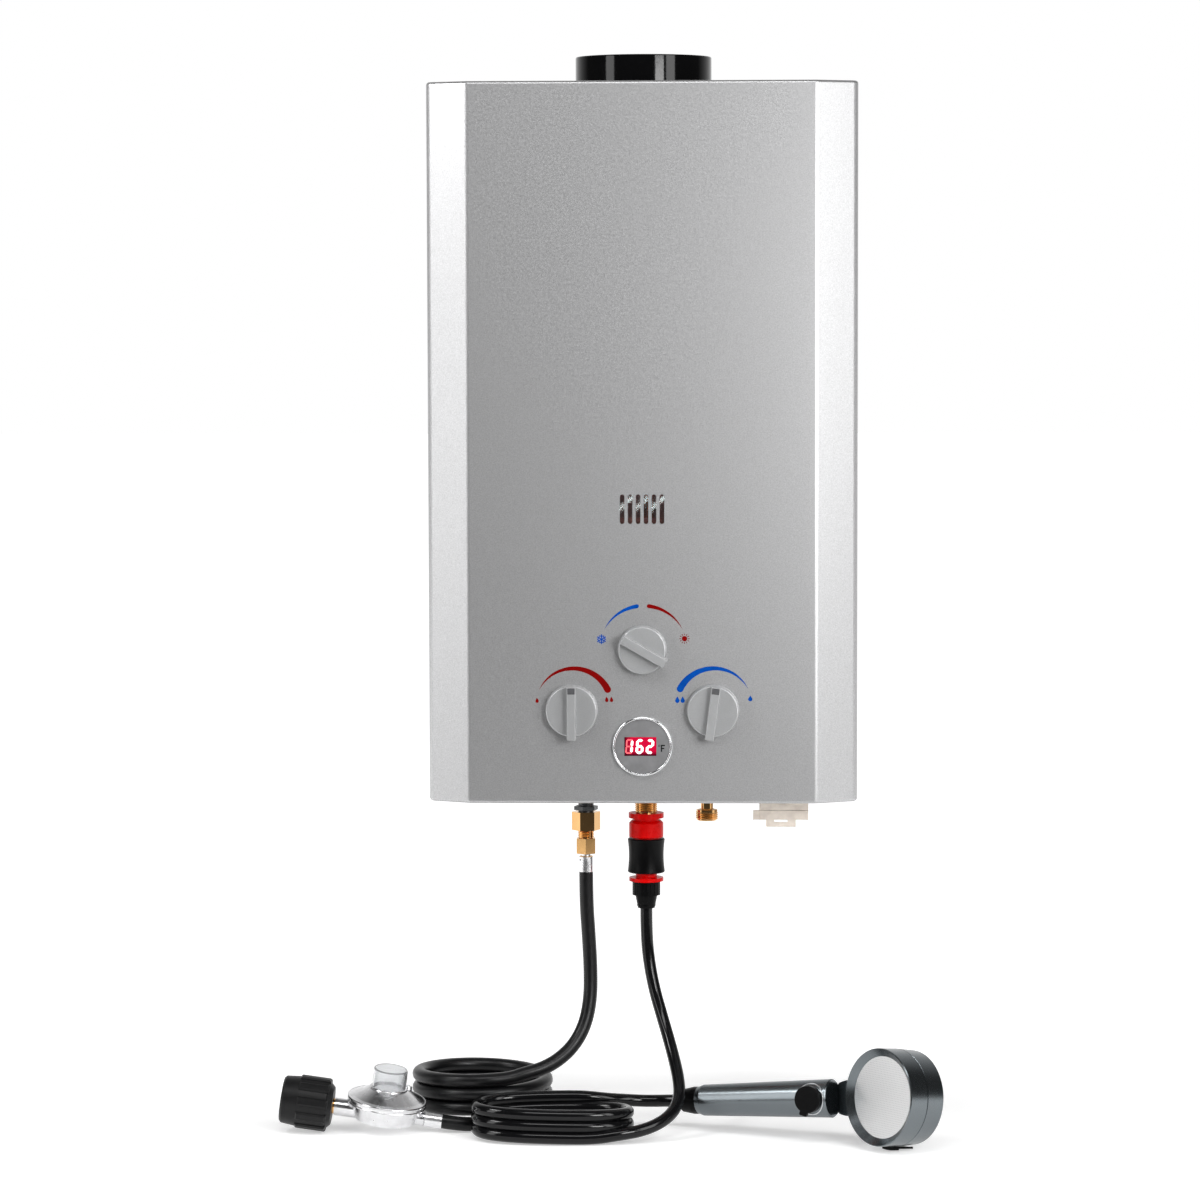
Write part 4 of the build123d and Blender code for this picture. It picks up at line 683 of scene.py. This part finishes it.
def make_pointers():
    """An insert with rounded corners near the rim of each knob, on the knob's own body."""
    corners = ((INSERT_HALF_X, INSERT_HALF_Z, 0), (-INSERT_HALF_X, INSERT_HALF_Z, 90),
               (-INSERT_HALF_X, -INSERT_HALF_Z, 180), (INSERT_HALF_X, -INSERT_HALF_Z, 270))
    for body, x, z, turn, reach, material in POINTERS:
        turn = math.radians(turn)
        matrix = matrix_of((x, front_of(body)[1], z), (math.cos(turn), 0, -math.sin(turn)),
                           (math.sin(turn), 0, math.cos(turn)))
        outline = []
        for corner_x, corner_z, start in corners:
            outline += circle_points(
                corner_x, reach + corner_z, INSERT_CORNER, steps=4, start=start, end=start + 90,
            )
        shape = bmesh.new()
        slab(shape, outline, matrix, INSERT_SINK, INSERT_RISE)
        if body == "season_knob":
            raised = [(across * RAISED_X, reach + (up - reach) * RAISED_Z) for across, up in outline]
            slab(shape, raised, matrix, RAISED_SINK, RAISED_RISE)
        new_piece(body + "_pointer", shape, "knob_silver", body, material)


# ---- Threads, rings and the painted shade of the ferrule's dimple --------------------------------
GAS_X, WATER_X, INLET_X, PIPES_Y = -58.0, 1.5, 61.5, -100.0
GAS_THREAD = dict(radius=7.4, length=7.4, pitch=1.5, depth=0.7)
PIPE_THREAD = dict(radius=10.48, pitch=1.81, depth=0.75)
THREAD_STEPS = 40        # in each turn
THREAD_FADE = 0.5        # turns over which it rises and falls
THREAD_ROOT = 0.2        # how deep the ridge is sunk
RIDGE_FOOT, RIDGE_CREST = 0.46, 0.06   # its half height at the foot and at the crest, of the pitch
COLLAR_RINGS = ((-756.2, 9.9, 0.8), (-760.6, 9.2, 1.5))   # z, radius, half height
COLLAR_INNER, COLLAR_EDGE = 8.0, 0.4
DIMPLE_Z, DIMPLE_TURN, FERRULE_RADIUS = -715.8, math.radians(-51.0), 7.3
DIMPLE_RADIUS, DIMPLE_SINK, DIMPLE_RISE = 0.95, -0.3, 0.06


def thread(shape, place, radius, length, pitch, depth):
    """A helical ridge that fades out at both ends, going down from a place."""
    count = round(length / pitch * THREAD_STEPS)
    sections = []
    for number in range(count + 1):
        angle = 2 * math.pi * number / THREAD_STEPS
        height = -length * number / count
        from_end = min(number, count - number) / THREAD_STEPS
        rise = depth * min(1.0, from_end / THREAD_FADE)
        profile = (
            (-THREAD_ROOT, RIDGE_FOOT), (rise, RIDGE_CREST),
            (rise, -RIDGE_CREST), (-THREAD_ROOT, -RIDGE_FOOT),
        )
        section = []
        for out, up in profile:
            x, y = (radius + out) * math.cos(angle), (radius + out) * math.sin(angle)
            section.append(shape.verts.new(mm(place[0] + x, place[1] + y, place[2] + height + up * pitch)))
        sections.append(section)
    skin(shape, sections)
    shape.faces.new(list(reversed(sections[0])))
    shape.faces.new(sections[-1])


def make_threads():
    """The threads of the gas adapter, the hot outlet and the cold inlet."""
    shape = bmesh.new()
    thread(shape, (GAS_X, PIPES_Y, -686.8), **GAS_THREAD)
    thread(shape, (WATER_X, PIPES_Y, -650.6), length=17.6, **PIPE_THREAD)
    thread(shape, (INLET_X, PIPES_Y, -667.4), length=8.0, **PIPE_THREAD)
    new_piece("threads", shape, "brass_parts")


def make_collar_rings():
    """The steps of the shower hose's nut above the hose."""
    shape = bmesh.new()
    axis = axis_of((WATER_X, PIPES_Y, 0.0), (0, 0, 1))
    for z, radius, half in COLLAR_RINGS:
        low, high = z - half, z + half
        turned(shape, [
            (COLLAR_INNER, low), (radius, low + COLLAR_EDGE),
            (radius, high - COLLAR_EDGE), (COLLAR_INNER, high),
        ], axis)
    new_piece("hose_collar_rings", shape, "black_plastic")


def make_dimple_shade():
    """A dark grey disc on the gas hose's ferrule where the crimp's round dimple is: painted shade for its
    hollow.
    """
    shape = bmesh.new()
    out = Vector((math.sin(DIMPLE_TURN), -math.cos(DIMPLE_TURN), 0.0))
    place = Vector((GAS_X, PIPES_Y, DIMPLE_Z)) + out * FERRULE_RADIUS
    turned(shape, [
        (0.0, DIMPLE_SINK), (DIMPLE_RADIUS, DIMPLE_SINK), (DIMPLE_RADIUS, DIMPLE_RISE), (0.0, DIMPLE_RISE),
    ], axis_of(place, out), steps=20)
    # painted shade: the grey disc stands for the dimple's hollow
    new_piece("ferrule_dimple_shade", shape, "crimp_chrome", material="pointer_grey")


# ---- Bezel lip -----------------------------------------------------------------------------------
LIP_MIDDLE, LIP_HALF, LIP_RISE, LIP_STEPS = 27.5, 1.25, 1.7, 12


def make_bezel_lip():
    """The bezel's rounded lip, which laps the display's face."""
    turns = [math.pi * number / LIP_STEPS for number in range(LIP_STEPS + 1)]
    profile = [(LIP_MIDDLE + LIP_HALF * math.cos(turn), LIP_RISE * math.sin(turn)) for turn in turns]
    shape = bmesh.new()
    place = (0.0, front_of("display_unit")[1], front_of("display_bezel")[2])
    turned(shape, profile, facing_front(place), steps=128)
    new_piece("bezel_lip", shape, "bezel_chrome", smooth=True)


# ---- Regulator trim: its local Z points up out of the dome ---------------------------------------
REGULATOR = (Matrix.Translation(mm(-197.0, -174.0, -964.2)) @ Matrix.Rotation(math.radians(7.99), 4, "Y")
             @ Matrix.Rotation(math.radians(6.0), 4, "X"))
DOME = REGULATOR @ Matrix.Translation(mm(-56.0, 0.0, 0.0))
RIMS = ((15.2, 37.6, 1.5), (10.8, 37.4, 1.3))   # height, radius, half thickness
CAP_FOOT = ((16.2, 25.6), (18.6, 25.6), (18.6, 26.6), (17.6, 27.6), (16.2, 27.6))   # radius, height
VENT_PLACE = (18.6, 13.7, 22.8)
VENT_SCREW = ((0.0, -3.0), (3.4, -3.0), (3.4, 3.2), (2.9, 3.8), (1.4, 3.8), (1.4, 3.0), (0.0, 3.0))


def make_regulator_trim():
    """The rolled rims, the cap's foot and the vent screw."""
    rims = bmesh.new()
    for height, radius, half in RIMS:
        turned(rims, circle_points(radius, height, half, steps=12), DOME, steps=96)
    turned(rims, CAP_FOOT, DOME)
    new_piece("regulator_rims", rims, "die_cast", smooth=True)
    screw = bmesh.new()
    turned(screw, VENT_SCREW, DOME @ Matrix.Translation(mm(*VENT_PLACE)), steps=24)
    new_piece("vent_screw", screw, "die_cast")


# ---- Shut-off frame: a bead whose lighter metal is a painted highlight ---------------------------
HANDLE_START, HANDLE_WAY = Vector((55.0, -160.0, -944.9)), Vector((188.0, -91.5, 21.0)).normalized()
HANDLE_RADIUS = 18.2
SHUTOFF_ALONG, SHUTOFF_RADIUS = 127.0, 14.6
SHUTOFF_OUT = Vector((-0.445311, -0.887127, 0.121259))   # across the handle, out through the shut-off
BEAD_RADIUS, BEAD_STEPS, BEAD_SIDES = 0.7, 72, 8


def make_shutoff_highlight_bead():
    """A bead round the shut-off, which follows the handle's round side; its metal, lighter than the
    handle's, is a painted highlight of the lit edge round the shut-off.
    """
    shape = bmesh.new()
    aside = SHUTOFF_OUT.cross(HANDLE_WAY)
    middle = HANDLE_START + HANDLE_WAY * SHUTOFF_ALONG
    rings = []
    for over, across in circle_points(0.0, 0.0, SHUTOFF_RADIUS, BEAD_STEPS):
        radial = aside * across + SHUTOFF_OUT * math.sqrt(HANDLE_RADIUS ** 2 - across ** 2)
        place = middle + HANDLE_WAY * over + radial
        lift = radial.normalized()
        outward = (HANDLE_WAY * over + aside * across).normalized()
        outward = (outward - lift * outward.dot(lift)).normalized()
        rings.append([
            shape.verts.new((place + outward * x + lift * y) * MM)
            for x, y in circle_points(0.0, 0.0, BEAD_RADIUS, BEAD_SIDES)
        ])
    skin(shape, rings + rings[:1])
    # the plated steel, lighter than the gunmetal handle, is a painted highlight
    new_piece("shutoff_highlight_bead", shape, "gunmetal", material="plated_steel", smooth=True)


make_bezel_lip()
make_regulator_trim()
make_shutoff_highlight_bead()
make_prints()
make_digits()
make_degree_sign()
make_pointers()
make_threads()
make_collar_rings()
make_dimple_shade()


# ---- World and floor -----------------------------------------------------------------------------
ROOM_LIGHT = 0.16        # of the world on everything that isn't a mirror
ROOM_DARK = 0.06         # the room in front of the heater, as metal shows it
ROOM_TURN = (0.3, 0.95)  # how far back a mirror looks, from where the room is dark to where it is white
FLOOR_Z = -975.05        # mm
FLOOR_SIZE = 40.0        # m
FLOOR_PAINT = 0.8
FLOOR_GLOW = 0.40        # near the heater, where it keeps the shadows
FLOOR_FADE = (0.16, 0.42)  # metres from the middle of the hoses over which the floor turns white
FLOOR_MIDDLE, FLOOR_SQUEEZE = mm(0.0, 90.0, 0.0), (0.5, 1.0, 1.0)
FLOOR_DUSK = (-0.85, -0.30)  # metres, front to back, over which metal shows the floor lighter
FLOOR_SIDES = 0.3        # how much sooner it does to either side


def make_world():
    """White for the camera and through glass; in mirrors, white behind the heater and darker in front."""
    world = bpy.data.worlds.new("studio")
    scene.world = world
    world.use_nodes = True
    tree = world.node_tree
    path = tree.nodes.new("ShaderNodeLightPath").outputs
    direction = separate(tree, tree.nodes.new("ShaderNodeTexCoord").outputs["Generated"])
    mirrored = ranged(tree, direction["Y"], *ROOM_TURN, ROOM_DARK, 1.0)
    mirrored = number_node(tree, "MULTIPLY", path["Is Glossy Ray"], mirrored)
    seen = number_node(tree, "MAXIMUM", path["Is Camera Ray"], path["Is Transmission Ray"])
    plain = number_node(tree, "SUBTRACT", ROOM_LIGHT, path["Is Glossy Ray"])
    strength = number_node(tree, "MAXIMUM", number_node(tree, "MAXIMUM", seen, mirrored), plain)
    background = tree.nodes["Background"]
    background.inputs["Color"].default_value = (1.0, 1.0, 1.0, 1.0)
    tree.links.new(strength, background.inputs["Strength"])


def floor_material():
    """Paint that keeps the shadows, and a glow that makes the floor white to the camera further off."""
    material = bpy.data.materials.new("floor")
    material.use_nodes = True
    tree = material.node_tree
    path = tree.nodes.new("ShaderNodeLightPath").outputs
    coordinates = tree.nodes.new("ShaderNodeTexCoord").outputs["Object"]

    mapping = tree.nodes.new("ShaderNodeMapping")
    mapping.inputs["Location"].default_value = FLOOR_MIDDLE
    mapping.inputs["Scale"].default_value = FLOOR_SQUEEZE
    tree.links.new(coordinates, mapping.inputs["Vector"])
    distance = tree.nodes.new("ShaderNodeVectorMath")
    distance.operation = "LENGTH"
    tree.links.new(mapping.outputs["Vector"], distance.inputs[0])
    strength = ranged(tree, distance.outputs["Value"], *FLOOR_FADE, FLOOR_GLOW, 1.0)

    place = separate(tree, coordinates)
    aside = number_node(tree, "MULTIPLY", number_node(tree, "ABSOLUTE", place["X"]), FLOOR_SIDES)
    dusk = number_node(tree, "ADD", place["Y"], aside)
    dusk = ranged(tree, dusk, *FLOOR_DUSK, ROOM_DARK, 1.0)

    unmirrored = number_node(tree, "SUBTRACT", 1.0, path["Is Glossy Ray"])
    paint = number_node(tree, "MULTIPLY", number_node(tree, "MAXIMUM", unmirrored, dusk), FLOOR_PAINT)
    diffuse = tree.nodes.new("ShaderNodeBsdfDiffuse")
    tree.links.new(paint, diffuse.inputs["Color"])

    mirrored = number_node(tree, "MULTIPLY", path["Is Glossy Ray"], dusk)
    shown = number_node(tree, "MAXIMUM", path["Is Camera Ray"], mirrored)
    shown = number_node(tree, "MAXIMUM", shown, path["Is Transmission Ray"])
    glow = tree.nodes.new("ShaderNodeEmission")
    tree.links.new(number_node(tree, "MULTIPLY", strength, shown), glow.inputs["Strength"])

    both = tree.nodes.new("ShaderNodeAddShader")
    tree.links.new(diffuse.outputs[0], both.inputs[0])
    tree.links.new(glow.outputs[0], both.inputs[1])
    tree.links.new(both.outputs[0], tree.nodes["Material Output"].inputs["Surface"])
    return material


def make_floor():
    bpy.ops.mesh.primitive_plane_add(size=FLOOR_SIZE, location=mm(0, 0, FLOOR_Z))
    floor = bpy.context.object
    floor.name = "floor"
    floor.data.materials.append(floor_material())


# ---- Lamps, and the glints in the slots ----------------------------------------------------------
LAMPS = (                # name, place, aim, width and height, all in metres, and watts
    ("left", (-1.75, -1.25, 0.08), (0.0, -0.15, -0.28), (0.55, 1.7), 11.5),
    ("right", (1.35, -1.35, 0.15), (0.1, -0.15, -0.25), (0.5, 1.5), 12.0),
    ("front", (0.85, -1.70, -0.18), (0.12, -0.18, -0.25), (0.45, 0.7), 14.0),
    ("top", (0.1, -1.7, 1.25), (0.0, -0.15, -0.7), (1.6, 0.6), 18.0),
    ("low left", (-1.3, 0.0, -0.72), (0.24, -0.25, -0.92), (0.5, 0.4), 0.6),
    ("high left", (-1.10, -0.66, 0.42), (0.14, -0.2, -0.93), (0.45, 0.25), 5.5),
)
SLOTS, SLOT_PITCH, SLOT_Z = 6, 7.67, -364.7
PANE_Y = -184.0          # the pane's front
CARD_Y = -2500.0
CARD_HEIGHTS = (2.3, 9.3)   # of a card's glint above the slots' middle, by turns
CARD_CORNERS = ((-3.2, -4.6), (3.2, 0.4), (3.2, 4.6), (-3.2, -0.4))   # of a glint, mm
CARD_COLOUR, CARD_STRENGTH = (0.80, 1.0, 1.0, 1.0), 14.0


def softbox(name, place, aim, size, power):
    """A rectangular lamp that faces a point."""
    data = bpy.data.lights.new(name, "AREA")
    data.shape = "RECTANGLE"
    data.size, data.size_y = size
    data.energy = power
    lamp = bpy.data.objects.new(name, data)
    lamp.location = place
    lamp.rotation_euler = (Vector(aim) - Vector(place)).to_track_quat("-Z", "Y").to_euler()
    scene.collection.objects.link(lamp)


def make_catch_light():
    """Small slanting cards in front, which the pane behind the slots mirrors to the viewer."""
    reach = (PANE_Y - CARD_Y) / (PANE_Y - CAMERA_PLACE.y / MM)
    shape = bmesh.new()
    for number in range(SLOTS):
        middle = (number - (SLOTS - 1) / 2) * SLOT_PITCH
        height = SLOT_Z + CARD_HEIGHTS[number % 2]
        corners = []
        for across, up in CARD_CORNERS:
            x, z = middle + across, height + up
            x += (x - CAMERA_PLACE.x / MM) * reach
            z += (z - CAMERA_PLACE.z / MM) * reach
            corners.append(shape.verts.new(mm(x, CARD_Y, z)))
        shape.faces.new(corners)
    mesh = bpy.data.meshes.new("catch_light")
    shape.to_mesh(mesh)
    shape.free()
    card = bpy.data.objects.new("catch_light", mesh)
    scene.collection.objects.link(card)
    card.visible_camera = False
    material = bpy.data.materials.new("catch_light")
    material.use_nodes = True
    tree = material.node_tree
    glow = tree.nodes.new("ShaderNodeEmission")
    glow.inputs["Color"].default_value = CARD_COLOUR
    glow.inputs["Strength"].default_value = CARD_STRENGTH
    tree.links.new(glow.outputs[0], tree.nodes["Material Output"].inputs["Surface"])
    mesh.materials.append(material)


make_world()
make_floor()
for lamp in LAMPS:
    softbox(*lamp)
make_catch_light()
scene.view_settings.view_transform = "Standard"
